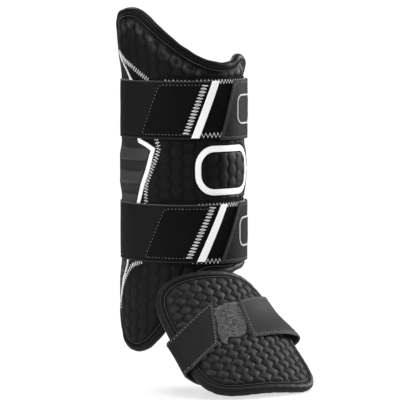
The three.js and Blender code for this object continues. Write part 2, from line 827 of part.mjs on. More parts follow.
// The fuzzy loop pad on the foot: an uneven rounded patch under the two strap ends.
function loopPadColumns() {
  const steps = 12;
  const rows = 3;
  const columns = [];
  for (let k = 0; k <= steps; k += 1) {
    const share = THREE.MathUtils.lerp(-0.985, 0.985, k / steps);
    const half = (loopPadLength / 2) * (1 - Math.abs(share) ** 3) ** (1 / 3);
    const x = (share * loopPadWidth) / 2;
    const skew = share * loopPadLength * 0.06;
    const column = [];
    for (let row = 0; row <= rows; row += 1) {
      const y = loopPadAlong + skew + THREE.MathUtils.lerp(-half, half, row / rows);
      column.push({ x, y, out: layProud });
    }
    columns.push(column);
  }
  return columns;
}

function isFootFlat(across, along) {
  const nearX = Math.abs(across) < loopPadWidth / 2 + flatMargin;
  const nearY = Math.abs(along - loopPadAlong) < loopPadLength / 2 + flatMargin;
  return nearX && nearY;
}

const finishes = {
  quilt: { color: 0x1d1e20, roughness: 0.72, metalness: 0 },
  binding: { color: 0x232426, roughness: 0.58, metalness: 0 },
  elastic: { color: 0x191a1c, roughness: 0.85, metalness: 0 },
  loop: { color: 0x26272a, roughness: 0.95, metalness: 0 },
  tab: { color: 0x2c2d30, roughness: 0.66, metalness: 0 },
  panel: { color: 0x3d4044, roughness: 0.5, metalness: 0 },
  white: { color: 0xf1f1ef, roughness: 0.55, metalness: 0 },
  felt: { color: 0x6a6b6e, roughness: 1, metalness: 0 },
  line: { color: 0x8b8c8f, roughness: 0.6, metalness: 0 },
};

function piece(name, geometry, finish) {
  const mesh = new THREE.Mesh(geometry, new THREE.MeshStandardMaterial(finishes[finish]));
  mesh.name = name;
  return mesh;
}

const shellEdge = shellLoop();
const footEdge = footLoop();
const shin = new THREE.Group();
const foot = new THREE.Group();

const shellBorder = besidePath(shellEdge, true, bindingWidth + bindingGap);
const shellColumns = quiltColumns(shellBorder, quiltSpacing, quiltPeriod, isShellFlat);
shin.add(piece('shin_shell', sheetSolid(shellColumns, shellPlace, -shellWall, 5), 'quilt'));
const shinBinding = sweepSolid(shellEdge, true, bindingSection(bindingWidth, shellWall), shellPlace);
shin.add(piece('shin_binding', shinBinding, 'binding'));

const pipingCorners = pipingLine.map(({ turn, height }) => new THREE.Vector2(turn * arcPerDegree, heightAt(height)));
const pipingPath = finerPath(pipingCorners, false, quiltSpacing / 2);
const pipingSection = lineSection(pipingWidth, layBottom, layProud);
shin.add(piece('side_panel', sheetSolid(sidePanelColumns(pipingCorners), shellPlace, layBottom), 'panel'));
shin.add(piece('side_piping', sweepSolid(pipingPath, false, pipingSection, shellPlace), 'white'));

const badgePath = roundedPath(
  0, badgeCentre, badgeWidth - badgeLine, badgeHeight - badgeLine, badgeCorner, 4, quiltSpacing / 2,
);
const badgeSection = lineSection(badgeLine, layBottom, layProud);
shin.add(piece('front_badge_frame', sweepSolid(badgePath, true, badgeSection, shellPlace), 'white'));

const straps = [
  {
    prefix: 'upper',
    centre: upperStrapHeight,
    ribbon: { top: upperRibbonTopTurn, bottom: upperRibbonBottomTurn },
    tab: { top: upperTabTopTurn, bottom: upperTabBottomTurn },
    frameTurn: upperFrameTurn,
    patchBelow: upperPatchBelow,
  },
  {
    prefix: 'lower',
    centre: lowerStrapHeight,
    ribbon: { top: lowerRibbonTopTurn, bottom: lowerRibbonBottomTurn },
    tab: { top: lowerTabTopTurn, bottom: lowerTabBottomTurn },
    frameTurn: lowerFrameTurn,
    patchBelow: lowerPatchBelow,
  },
];
const fullTurn = 360;
for (const { prefix, centre, ribbon, tab, frameTurn, patchBelow } of straps) {
  const shifted = (ends, by) => ({ top: ends.top + by, bottom: ends.bottom + by });
  const low = centre - strapWidth / 2;
  const high = centre + strapWidth / 2;
  const over = strapTop + layGap;
  const patch = patchColumns(centre, patchBelow, patchStartTurn, patchEndTurn, shellBorder);
  shin.add(piece(`${prefix}_loop_patch`, sheetSolid(patch, shellPlace, layBottom), 'loop'));
  const strapEnd = shifted(tab, fullTurn - tabOverhang / arcPerDegree);
  const strap = bandColumns(low, high, ribbon, strapEnd, strapStepTurn, strapTop);
  shin.add(piece(`${prefix}_strap`, sheetSolid(strap, shellPlace, strapLift), 'elastic'));
  const ribbonEnd = shifted(ribbon, ribbonWidth / arcPerDegree);
  const band = bandColumns(low, high, ribbon, ribbonEnd, slantRowTurn, over + ribbonThickness);
  shin.add(piece(`${prefix}_ribbon`, sheetSolid(band, shellPlace, over), 'white'));
  const tabRear = { top: tabEndTurn, bottom: tabEndTurn };
  const tabBand = bandColumns(low - tabRim, high + tabRim, tabRear, tab, patchStepTurn, over + tabThickness);
  shin.add(piece(`${prefix}_tab`, sheetSolid(tabBand, shellPlace, over), 'tab'));
  const framePath = roundedPath(
    frameTurn * arcPerDegree, centre, tabFrameWidth, tabFrameHeight, tabFrameCorner, 3, quiltSpacing / 2,
  );
  const frameFloor = over + tabThickness + layGap;
  const frameSection = lineSection(tabFrameLine, frameFloor, frameFloor + tabFrameRise);
  shin.add(piece(`${prefix}_tab_frame`, sweepSolid(framePath, true, frameSection, shellPlace), 'line'));
}

const footColumns = quiltColumns(
  besidePath(footEdge, true, footBindingWidth + bindingGap), footQuiltSpacing, footQuiltPeriod, isFootFlat,
);
foot.add(piece('foot_pad', sheetSolid(footColumns, footPlace, -footWall, 5), 'quilt'));
const footBinding = sweepSolid(footEdge, true, bindingSection(footBindingWidth, footWall), footPlace);
foot.add(piece('foot_binding', footBinding, 'binding'));
foot.add(piece('foot_loop_pad', sheetSolid(loopPadColumns(), footPlace, layBottom), 'felt'));
foot.add(piece('foot_strap', clothSolid(footStrapGrid(), footStrapThickness), 'elastic'));
foot.add(piece('ankle_link', clothSolid(ankleLinkGrid(), linkThickness), 'binding'));

const group = new THREE.Group();
group.add(shin);
group.add(foot);

export default group;
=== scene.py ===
import logging
import math
from dataclasses import dataclass, field
from enum import Enum
from typing import Sequence

import bpy
import numpy as np
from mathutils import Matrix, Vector


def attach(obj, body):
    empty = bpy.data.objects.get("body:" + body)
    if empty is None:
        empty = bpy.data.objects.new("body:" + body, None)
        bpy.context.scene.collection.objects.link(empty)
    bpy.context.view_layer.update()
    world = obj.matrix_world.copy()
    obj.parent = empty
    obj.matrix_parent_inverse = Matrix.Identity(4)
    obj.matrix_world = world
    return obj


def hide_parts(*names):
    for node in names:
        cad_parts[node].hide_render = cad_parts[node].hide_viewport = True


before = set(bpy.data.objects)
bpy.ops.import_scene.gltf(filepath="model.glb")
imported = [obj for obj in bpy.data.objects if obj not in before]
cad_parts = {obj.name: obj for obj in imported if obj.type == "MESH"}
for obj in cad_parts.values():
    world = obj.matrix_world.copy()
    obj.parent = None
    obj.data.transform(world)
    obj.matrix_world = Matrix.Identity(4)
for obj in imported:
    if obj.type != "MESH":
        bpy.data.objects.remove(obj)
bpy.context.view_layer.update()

# Batter's leg guard: quilted shin shell, two wrap straps, quilted foot pad with a strap of its own.
# Metres. +Z runs up the leg, -Y is ahead of the shin, -X is the outer side of the leg.

LOG = logging.getLogger("leg_guard")
MM = 0.001
BODY = "root"
CORNER_CUT = 0.25

# Finishes: scale of the broad patches, the paler tone of rubbed places and painted highlights, and the darker
# tone that paints shade into seams, beside the cloth's own.
BROAD_SCALE = 38.0
PALER = 1.6
DARKER = 0.25

Array = np.ndarray


# Small maths

def clamp01(value: Array) -> Array:
    """Keep values between 0 and 1."""
    return np.clip(value, 0.0, 1.0)


def smooth(value: Array) -> Array:
    """Ease values from 0 to 1 with a flat start and end."""
    share = clamp01(value)
    return share * share * (3.0 - 2.0 * share)


def mix(low: Array, high: Array, share: Array) -> Array:
    """Go from low to high by a share."""
    return low + (high - low) * share


def hump(value: Array, centre: float, width: float) -> Array:
    """Rise smoothly to 1 at a centre and fall away on both sides."""
    return np.exp(-(((value - centre) / width) ** 2))


def power(value: Array, exponent: float) -> Array:
    """Raise the size of values to a power and keep their sign."""
    return np.sign(value) * np.abs(value) ** exponent


def ripple(x: Array, y: Array, length: float) -> Array:
    """Give a gentle uneven wave over a surface.

    Args:
        x: First length along the surface.
        y: Second length along the surface.
        length: Rough distance between crests.

    Returns:
        Values between about -1 and 1.
    """
    a = 2.0 * math.pi / length
    first = np.sin(a * (0.91 * x + 0.37 * y) + 1.3) * np.cos(a * (0.43 * x - 0.83 * y) + 0.4)
    second = np.sin(a * (1.73 * x - 0.59 * y) + 2.1) * np.sin(a * (0.77 * x + 1.49 * y) + 4.0)
    return 0.6 * first + 0.4 * second


def unit(vectors: Array) -> Array:
    """Scale vectors to length one and leave empty ones as they are."""
    length = np.linalg.norm(vectors, axis=-1, keepdims=True)
    return vectors / np.where(length > 1e-12, length, 1.0)


def stations(length: float, step: float, rim: float) -> Array:
    """Spread stations over a length, closer together in the rounded rim at each end.

    Args:
        length: Whole length.
        step: Longest step between stations.
        rim: Width of the rounded rim.

    Returns:
        Rising distances from 0 to the length.
    """
    near = rim * np.array([0.0, 0.08, 0.3, 0.6])
    count = max(2, math.ceil((length - 2.0 * rim) / step))
    middle = np.linspace(rim, length - rim, count + 1)
    return np.concatenate([near, middle, length - near[::-1]])


@dataclass(frozen=True)
class SmoothTable:
    """A smooth curve through the rows of a given table of place and value."""

    rows: Sequence[tuple[float, float]]

    def read(self, place: Array) -> Array:
        """Read the curve.

        Args:
            place: Places along the first column.

        Returns:
            Values of the second column.
        """
        places, values = np.array(self.rows, float).T
        before = np.r_[0, np.arange(len(places) - 1)]
        after = np.r_[np.arange(1, len(places)), len(places) - 1]
        slopes = (values[after] - values[before]) / (places[after] - places[before])
        row = np.clip(np.searchsorted(places, place) - 1, 0, len(places) - 2)
        length = places[row + 1] - places[row]
        t = clamp01((place - places[row]) / length)
        ease = t * t * (3.0 - 2.0 * t)
        bend = slopes[row] * t * (1.0 - t) ** 2 + slopes[row + 1] * t * t * (t - 1.0)
        return mix(values[row], values[row + 1], ease) + bend * length


# Surfaces that the pieces are laid on

class Surface:
    """A curved surface with two lengths along it and a distance outwards."""

    def place(self, x: Array, y: Array, out: Array) -> Array:
        """Give points in the row frame.

        Args:
            x: First length along the surface.
            y: Second length along the surface.
            out: Distance outwards.

        Returns:
            Points, three numbers each.
        """
        raise NotImplementedError

    def outwards(self, x: Array, y: Array) -> Array:
        """Give the outward direction at places of the surface."""
        flat = np.zeros(np.broadcast(x, y).shape)
        return unit(self.place(x, y, flat + MM) - self.place(x, y, flat))


@dataclass(frozen=True)
class LegOval(Surface):
    """The oval that the shin shell and the leg straps follow."""

    width: float = 0.1372
    depth: float = 0.1512
    height: float = 0.392
    floor: float = 0.1932
    lean_out: float = 0.0032
    lean_back: float = 0.0031
    lean_start: float = 0.122
    lean_length: float = 0.066
    strap_width: float = 0.0656
    strap_levels: tuple[float, float] = (0.0834, -0.056)
    patch_overlap: float = 0.0036
    press_depth: float = 0.002
    press_ease: float = 0.016
    press_margin: float = 0.003

    @property
    def per_degree(self) -> float:
        """Arc length for one degree of turn."""
        return math.pi * (self.width + self.depth) / 4.0 / 180.0

    def level(self, share: Array) -> Array:
        """Height above the origin for a share of the shell's height."""
        return np.asarray(share) * self.height - self.floor

    def press(self, height: Array) -> Array:
        """Tell how far the straps press everything in.

        Args:
            height: Heights above the origin.

        Returns:
            The distances inwards.
        """
        upper, lower = self.strap_levels
        nearest = np.minimum(np.abs(height - upper), np.abs(height - lower))
        band = self.strap_width / 2.0 + self.patch_overlap + self.press_margin
        return self.press_depth * (1.0 - clamp01((nearest - band) / self.press_ease))

    def place(self, x: Array, y: Array, out: Array) -> Array:
        """Give points round the leg.

        Args:
            x: Arcs from the front to the outer side.
            y: Heights.
            out: Distances outwards.

        Returns:
            Points, three numbers each.
        """
        angle = np.radians(np.asarray(x) / self.per_degree)
        half_width, half_depth = self.width / 2.0, self.depth / 2.0
        at_x, at_y = -half_width * np.sin(angle), -half_depth * np.cos(angle)
        normal = unit(np.stack([at_x / half_width**2, at_y / half_depth**2], -1))
        lean = smooth((np.asarray(y) - self.lean_start) / self.lean_length)
        reach = out - self.press(y)
        across = at_x + normal[..., 0] * reach - lean * self.lean_out
        ahead = at_y + normal[..., 1] * reach + lean * self.lean_back
        return np.stack(np.broadcast_arrays(across, ahead, y), -1)


@dataclass(frozen=True)
class FootArch(Surface):
    """The arched surface of the foot pad, running down from its top edge to the toes."""

    length: float = 0.1757
    half_width: float = 0.0803
    top: tuple[float, float, float] = (-0.038, -0.0777, -0.0951)
    heading: float = 10.0
    slope: float = 42.5
    curl: float = 7.5
    top_radius: float = 0.1309
    toe_radius: float = 0.2223

    def ridge(self, along: Array) -> tuple[Array, Array, Array]:
        """Read the ridge at a length from the top.

        Args:
            along: Lengths from the pad's top edge.

        Returns:
            The ridge's points, the ways its crown faces and its arch radii.
        """
        turn = math.radians(self.heading)
        ahead = np.array([-math.sin(turn), -math.cos(turn), 0.0])
        up = np.array([0.0, 0.0, 1.0])
        part = np.asarray(along) / self.length
        mean = np.radians(self.slope + self.curl * (0.5 - part / 2.0))[..., None]
        here = np.radians(self.slope + self.curl * (0.5 - part))[..., None]
        run = np.asarray(along)[..., None]
        base = np.array(self.top) + ahead * run * np.cos(mean) - up * run * np.sin(mean)
        crown = ahead * np.sin(here) + up * np.cos(here)
        return base, crown, mix(self.top_radius, self.toe_radius, part)

    def place(self, x: Array, y: Array, out: Array) -> Array:
        """Give points on the arch.

        Args:
            x: Arcs from the ridge to the outer side.
            y: Lengths from the pad's top edge.
            out: Distances outwards.

        Returns:
            Points, three numbers each.
        """
        x, y, out = np.broadcast_arrays(x, y, out)
        base, crown, radius = self.ridge(y)
        turn = math.radians(self.heading)
        side = np.array([-math.cos(turn), math.sin(turn), 0.0])
        angle = x / radius
        reach = radius + out
        lift = reach * np.cos(angle) - radius
        return base + side * (reach * np.sin(angle))[..., None] + crown * lift[..., None]


# Flat paths

def finer(path: Array, closed: bool, longest: float) -> Array:
    """Add points to a path, so that no step is longer than a given length.

    Args:
        path: Points in the flat, two numbers each.
        closed: Whether the last point joins the first.
        longest: Longest step.

    Returns:
        The finer path.
    """
    path = np.asarray(path, float)
    ends = np.roll(path, -1, axis=0) if closed else path[1:]
    pieces = []
    for start, end in zip(path, ends):
        count = max(1, math.ceil(float(np.linalg.norm(end - start)) / longest))
        pieces.append(start + (end - start) * (np.arange(count) / count)[:, None])
    if not closed:
        pieces.append(path[-1:])
    return np.concatenate(pieces)


def left_of(path: Array, closed: bool) -> Array:
    """Give the way to the left of a path, lengthened at corners so that a band keeps its width.

    Args:
        path: Points in the flat.
        closed: Whether the last point joins the first.

    Returns:
        One way for each point.
    """
    before, after = np.roll(path, 1, axis=0), np.roll(path, -1, axis=0)
    if not closed:
        before[0], after[-1] = path[0], path[-1]
    arriving, leaving = unit(path - before), unit(after - path)
    if not closed:
        arriving[0], leaving[-1] = leaving[0], arriving[-1]
    travel = unit(arriving + leaving)
    share = np.sum(travel * arriving, axis=-1, keepdims=True)
    return np.stack([-travel[:, 1], travel[:, 0]], -1) / share


def beside(path: Array, closed: bool, width: float) -> Array:
    """Move a path to its left by a width; a closed anticlockwise path is drawn inwards."""
    return path + left_of(path, closed) * width


def crossings(loop: Array, places: Array) -> tuple[Array, Array]:
    """Find where upright lines cut a closed loop.

    Args:
        loop: The loop's points.
        places: Places of the upright lines.

    Returns:
        The lowest and the highest crossing of each line.
    """
    after = np.roll(loop, -1, axis=0)
    low, high = [], []
    for place in places:
        cut = (loop[:, 0] <= place) != (after[:, 0] <= place)
        start, end = loop[cut], after[cut]
        share = (place - start[:, 0]) / (end[:, 0] - start[:, 0])
        levels = start[:, 1] + share * (end[:, 1] - start[:, 1])
        low.append(levels.min())
        high.append(levels.max())
    return np.array(low), np.array(high)


def distance_to(path: Array, x: Array, y: Array) -> Array:
    """Measure how far places are from the nearest point of a finely stepped path.

    Args:
        path: The path's points.
        x: First lengths of the places.
        y: Second lengths of the places.

    Returns:
        The distances.
    """
    places = np.stack([x.ravel(), y.ravel()], -1)
    nearest = np.full(len(places), np.inf)
    for part in np.array_split(path, max(1, len(path) // 100)):
        gap = places[:, None, :] - part[None, :, :]
        nearest = np.minimum(nearest, np.einsum("ijk,ijk->ij", gap, gap).min(axis=1))
    return np.sqrt(nearest).reshape(x.shape)


def inner_grid(loop: Array, trim: float, step_x: float, step_y: float) -> tuple[Array, Array]:
    """Fill the inside of a closed path with a grid of upright columns.

    Args:
        loop: The path's points.
        trim: How far the first and last columns stay inside its sides.
        step_x: Longest step from column to column.
        step_y: Longest step along a column.

    Returns:
        Grids of first and second lengths.
    """
    first, last = float(loop[:, 0].min()), float(loop[:, 0].max())
    places = np.linspace(first + trim, last - trim, math.ceil((last - first) / step_x))
    low, high = crossings(loop, places)
    rows = math.ceil(float((high - low).max()) / step_y)
    x = np.broadcast_to(places[None, :], (rows, len(places)))
    return x, mix(low[None, :], high[None, :], np.linspace(0.0, 1.0, rows)[:, None])


def rounded_box(centre: tuple[float, float], size: tuple[float, float], corner: float, step: float) -> Array:
    """Draw a closed path round a rectangle with round corners.

    Args:
        centre: Middle of the rectangle.
        size: Width and height.
        corner: Radius of the corners.
        step: Longest step.

    Returns:
        The path, anticlockwise.
    """
    points = []
    for quarter, (sign_x, sign_y) in enumerate([(1, -1), (1, 1), (-1, 1), (-1, -1)]):
        for angle in np.radians(np.linspace(0.0, 90.0, 9) + 90.0 * (quarter - 1)):
            at_x = centre[0] + sign_x * (size[0] / 2.0 - corner) + corner * math.cos(angle)
            at_y = centre[1] + sign_y * (size[1] / 2.0 - corner) + corner * math.sin(angle)
            points.append((at_x, at_y))
    return finer(np.array(points), True, step)


def rounded_loop(corners: Sequence[tuple[float, float]], passes: int = 3) -> Array:
    """Round a closed path by cutting its corners again and again.

    Args:
        corners: The path's corners.
        passes: How often the corners are cut.

    Returns:
        The rounder path.
    """
    path = np.array(corners, float)
    for _ in range(passes):
        after = np.roll(path, -1, axis=0)
        path = np.stack([mix(path, after, CORNER_CUT), mix(after, path, CORNER_CUT)], 1).reshape(-1, 2)
    return path


# Meshes

@dataclass
class Model:
    """Points and faces of one closed piece, with a place in the flat and marks for its finish."""

    points: Array
    faces: list[Sequence[int]]
    flat: Array
    marks: dict[str, Array] = field(default_factory=dict)
    back_from: int | None = None
    layout: tuple[int, int] = (0, 0)

    def middle(self) -> Array:
        """Give the surface midway between the front and the back."""
        front, back = self.points[:self.back_from], self.points[self.back_from:]
        return ((front + back) / 2.0).reshape(*self.layout, 3)

    def mark(self, name: str, values: Array) -> None:
        """Set a named value of each grid point, on the front and the back alike."""
        self.marks[name] = np.tile(np.ravel(values), 2)

    def turned_out(self) -> "Model":
        """Turn the faces outwards.

        Returns:
            The same model.
        """
        triangles = np.array([(f[0], f[i], f[i + 1]) for f in self.faces for i in range(1, len(f) - 1)])
        a, b, c = (self.points[triangles[:, i]] for i in range(3))
        if float(np.einsum("ij,ij->", np.cross(a, b), c)) < 0.0:
            self.faces = [tuple(reversed(face)) for face in self.faces]
        return self

    def to_piece(self, name: str, slot: str, finishes: Sequence["Finish"], node: str,
                 fill: float | None = None) -> bpy.types.Object:
        """Make the Blender object and tie it to the frame.

        Args:
            name: Name of the piece.
            slot: The record's material slot; not used.
            finishes: The front's finish, and the back's where it differs.
            node: The CAD node that it stands for.
            fill: How full it is, where it is a padded piece; not used.

        Returns:
            The new object, at the origin.
        """
        self.turned_out()
        mesh = bpy.data.meshes.new(name)
        mesh.from_pydata(self.points.tolist(), [], self.faces)
        corners = np.empty(len(mesh.loops), np.int32)
        mesh.loops.foreach_get("vertex_index", corners)
        layer = mesh.uv_layers.new(name="flat")
        layer.data.foreach_set("uv", self.flat[corners].astype(np.float32).ravel())
        for mark, values in self.marks.items():
            attribute = mesh.attributes.new(mark, "FLOAT", "POINT")
            attribute.data.foreach_set("value", np.asarray(values, np.float32).ravel())
        for finish in finishes:
            mesh.materials.append(finish.material())
        if self.back_from is not None and len(finishes) > 1:
            first = np.array([min(face) for face in self.faces])
            mesh.polygons.foreach_set("material_index", (first >= self.back_from).astype(np.int32))
        mesh.polygons.foreach_set("use_smooth", np.ones(len(mesh.polygons), bool))
        mesh.update()
        return finish_piece(linked(name, mesh), [node])


def linked(name: str, data: bpy.types.ID) -> bpy.types.Object:
    """Make an object of its data and link it to the scene.

    Args:
        name: The object's name.
        data: Its mesh, light or camera.

    Returns:
        The new object.
    """
    made = bpy.data.objects.new(name, data)
    bpy.context.scene.collection.objects.link(made)
    return made


def grid_faces(index: Array) -> list[tuple[int, ...]]:
    """List the four-sided faces of a grid of points.

    Args:
        index: The points' numbers, rows by columns.

    Returns:
        The faces.
    """
    corners = [index[:-1, :-1], index[:-1, 1:], index[1:, 1:], index[1:, :-1]]
    return [tuple(face) for face in np.stack(corners, -1).reshape(-1, 4).tolist()]


def slab_of(front: Array, back: Array, flat: Array, marks: dict[str, Array]) -> Model:
    """Join a front and a back grid of points by walls round their border.

    Args:
        front: Grid of points of the front, rows by columns by three.
        back: The same for the back.
        flat: Place in the flat of each grid point.
        marks: Named values of each grid point.

    Returns:
        The closed piece.
    """
    rows, columns = front.shape[:2]
    count = rows * columns
    index = np.arange(count).reshape(rows, columns)
    faces = grid_faces(index)
    faces += [tuple(reversed(face)) for face in grid_faces(index + count)]
    border = np.concatenate([index[0, :-1], index[:-1, -1], index[-1, :0:-1], index[:0:-1, 0]])
    for here, there in zip(border.tolist(), np.roll(border, -1).tolist()):
        faces.append((there, here, here + count, there + count))
    both = {name: np.concatenate([np.ravel(v), np.ravel(v)]) for name, v in marks.items()}
    points = np.concatenate([front.reshape(-1, 3), back.reshape(-1, 3)])
    places = np.concatenate([flat.reshape(-1, 2), flat.reshape(-1, 2)])
    return Model(points, faces, places, both, back_from=count, layout=(rows, columns))


def rim_fall(distance: Array, radius: float) -> Array:
    """Fall of a rounded rim at a distance from its edge."""
    inset = clamp01(1.0 - distance / radius)
    return radius * (1.0 - np.sqrt(1.0 - 0.97 * inset**2))


def cloth_slab(surface: Surface, x: Array, y: Array, low: Array, high: Array, rim: float) -> Model:
    """Lay a sheet with rounded rims on a surface.

    Args:
        surface: What it lies on.
        x: Grid of first lengths.
        y: Grid of second lengths.
        low: Distance outwards of its back.
        high: Distance outwards of its front.
        rim: Width of the rounded rim.

    Returns:
        The closed sheet.
    """
    run_x = np.linalg.norm(np.diff(np.stack([x, y], -1), axis=1), axis=-1)
    run_y = np.linalg.norm(np.diff(np.stack([x, y], -1), axis=0), axis=-1)
    along_x = np.pad(np.cumsum(run_x, axis=1), ((0, 0), (1, 0)))
    along_y = np.pad(np.cumsum(run_y, axis=0), ((1, 0), (0, 0)))
    edge_x = np.minimum(along_x, along_x[:, -1:] - along_x)
    edge_y = np.minimum(along_y, along_y[-1:, :] - along_y)
    edge = np.minimum(edge_x, edge_y)
    thickness = high - low
    fall = np.minimum(rim_fall(edge, rim) / rim, 1.0) * thickness * 0.5
    front = surface.place(x, y, high - fall)
    back = surface.place(x, y, low + fall)
    marks = {"wear_and_highlight": np.exp(-edge / (2.0 * rim)), "seam": np.zeros(x.shape)}
    return slab_of(front, back, np.stack([x, y], -1), marks)


def sweep(surface: Surface, path: Array, closed: bool, section: Array, wear_and_highlight_tone: Array | None = None,
          width: Array | None = None, shaded: Array | None = None) -> Model:
    """Carry a closed section along a path that is laid on a surface.

    Args:
        surface: What the path is laid on.
        path: Points in the flat.
        closed: Whether the path closes on itself.
        section: Points with a distance to the left and a distance outwards, in order round the section.
        wear_and_highlight_tone: How pale each point of the section is; the binding uses it for a painted
            highlight along its lip.
        width: Width of the section at each step, as a share of its own.
        shaded: How dark each step of the path is.

    Returns:
        The closed piece.
    """
    sides = left_of(path, closed)
    if width is not None:
        sides = sides * width[:, None]
    places = path[:, None, :] + sides[:, None, :] * section[None, :, :1]
    out = np.broadcast_to(section[None, :, 1], places.shape[:2])
    points = surface.place(places[..., 0], places[..., 1], out)
    steps, around = places.shape[:2]
    index = np.arange(steps * around).reshape(steps, around)
    index = np.hstack([index, index[:, :1]])
    if closed:
        index = np.vstack([index, index[:1]])
    faces = grid_faces(index)
    if not closed:
        faces.append(tuple(range(around - 1, -1, -1)))
        faces.append(tuple(range((steps - 1) * around, steps * around)))
    run = np.linalg.norm(np.diff(path, axis=0, prepend=path[:1]), axis=-1).cumsum()
    girth = np.linalg.norm(np.diff(section, axis=0, prepend=section[:1]), axis=-1).cumsum()
    flat = np.stack(np.broadcast_arrays(run[:, None], girth[None, :]), -1)
    pale = np.zeros(around) if wear_and_highlight_tone is None else wear_and_highlight_tone
    dark = np.zeros(steps) if shaded is None else shaded
    marks = {
        "wear_and_highlight": np.broadcast_to(pale[None, :], places.shape[:2]).ravel(),
        "seam": np.broadcast_to(dark[:, None], places.shape[:2]).ravel(),
    }
    return Model(points.reshape(-1, 3), faces, flat.reshape(-1, 2), marks)


# Node trees

class Signal:
    """One number socket of a node tree, with the arithmetic that the finishes use."""

    def __init__(self, nodes: "Nodes", socket: bpy.types.NodeSocket) -> None:
        """Wrap a socket of a tree."""
        self.nodes = nodes
        self.socket = socket

    def math(self, operation: str, *others: "Signal | float") -> "Signal":
        """Add a Math node that works on this number and others.

        Args:
            operation: What it does.
            others: The other numbers.

        Returns:
            The result.
        """
        values = dict(enumerate((self, *others)))
        made = self.nodes.add("ShaderNodeMath", {"operation": operation}, values)
        return Signal(self.nodes, made.outputs[0])

    def reflected(self, operation: str, other: float) -> "Signal":
        """Add a Math node that has a plain number before this one."""
        made = self.nodes.add("ShaderNodeMath", {"operation": operation}, {0: other, 1: self})
        return Signal(self.nodes, made.outputs[0])

    def __add__(self, other: "Signal | float") -> "Signal":
        """Add a number."""
        return self.math("ADD", other)

    __radd__ = __add__

    def __sub__(self, other: "Signal | float") -> "Signal":
        """Take a number away."""
        return self.math("SUBTRACT", other)

    def __rsub__(self, other: float) -> "Signal":
        """Be taken away from a number."""
        return self.reflected("SUBTRACT", other)

    def __mul__(self, other: "Signal | float") -> "Signal":
        """Multiply by a number."""
        return self.math("MULTIPLY", other)

    __rmul__ = __mul__

    def __truediv__(self, other: "Signal | float") -> "Signal":
        """Divide by a number."""
        return self.math("DIVIDE", other)

    def __rtruediv__(self, other: float) -> "Signal":
        """Divide a number."""
        return self.reflected("DIVIDE", other)

    def clamped(self) -> "Signal":
        """Keep the number between 0 and 1."""
        return self.math("MAXIMUM", 0.0).math("MINIMUM", 1.0)


class Nodes:
    """Adds nodes to one tree."""

    def __init__(self, tree: bpy.types.NodeTree) -> None:
        """Start with a tree."""
        self.tree = tree

    def add(self, kind: str, settings: dict | None = None, values: dict | None = None) -> bpy.types.Node:
        """Add a node.

        Args:
            kind: The node's type.
            settings: Its settings, which are set first.
            values: What goes into its sockets, by name or number: a plain value, a socket or a Signal.

        Returns:
            The new node.
        """
        node = self.tree.nodes.new(kind)
        for name, value in (settings or {}).items():
            setattr(node, name, value)
        for name, value in (values or {}).items():
            socket = node.inputs[name]
            source = value.socket if isinstance(value, Signal) else value
            if isinstance(source, bpy.types.NodeSocket):
                self.tree.links.new(source, socket)
            else:
                socket.default_value = source
        return node

    def signal(self, kind: str, settings: dict | None = None, values: dict | None = None,
               output: str | int = 0) -> Signal:
        """Add a node and wrap one of its outputs."""
        return Signal(self, self.add(kind, settings, values).outputs[output])

    def colour(self, low: tuple | bpy.types.NodeSocket, high: tuple | bpy.types.NodeSocket,
               share: Signal) -> bpy.types.NodeSocket:
        """Go from one colour to another by a share."""
        settings = {"data_type": "RGBA"}
        return self.add("ShaderNodeMix", settings, {0: share, 6: low, 7: high}).outputs[2]


# Finishes

def grey(tone: float, warm: float = 0.0) -> tuple[float, float, float, float]:
    """Give a grey colour, a little warmer or cooler."""
    return (tone * (1.0 + warm), tone, tone * (1.0 - warm), 1.0)


class Texture(Enum):
    """The small relief of a finish."""

    GRAIN = "grain"
    KNIT = "knit"
    RIBS = "ribs"
    WEAVE = "weave"
    PEBBLE = "pebble"
    FUZZ = "fuzz"
    SATIN = "satin"
    MOULDED = "moulded"
    PLY = "ply"


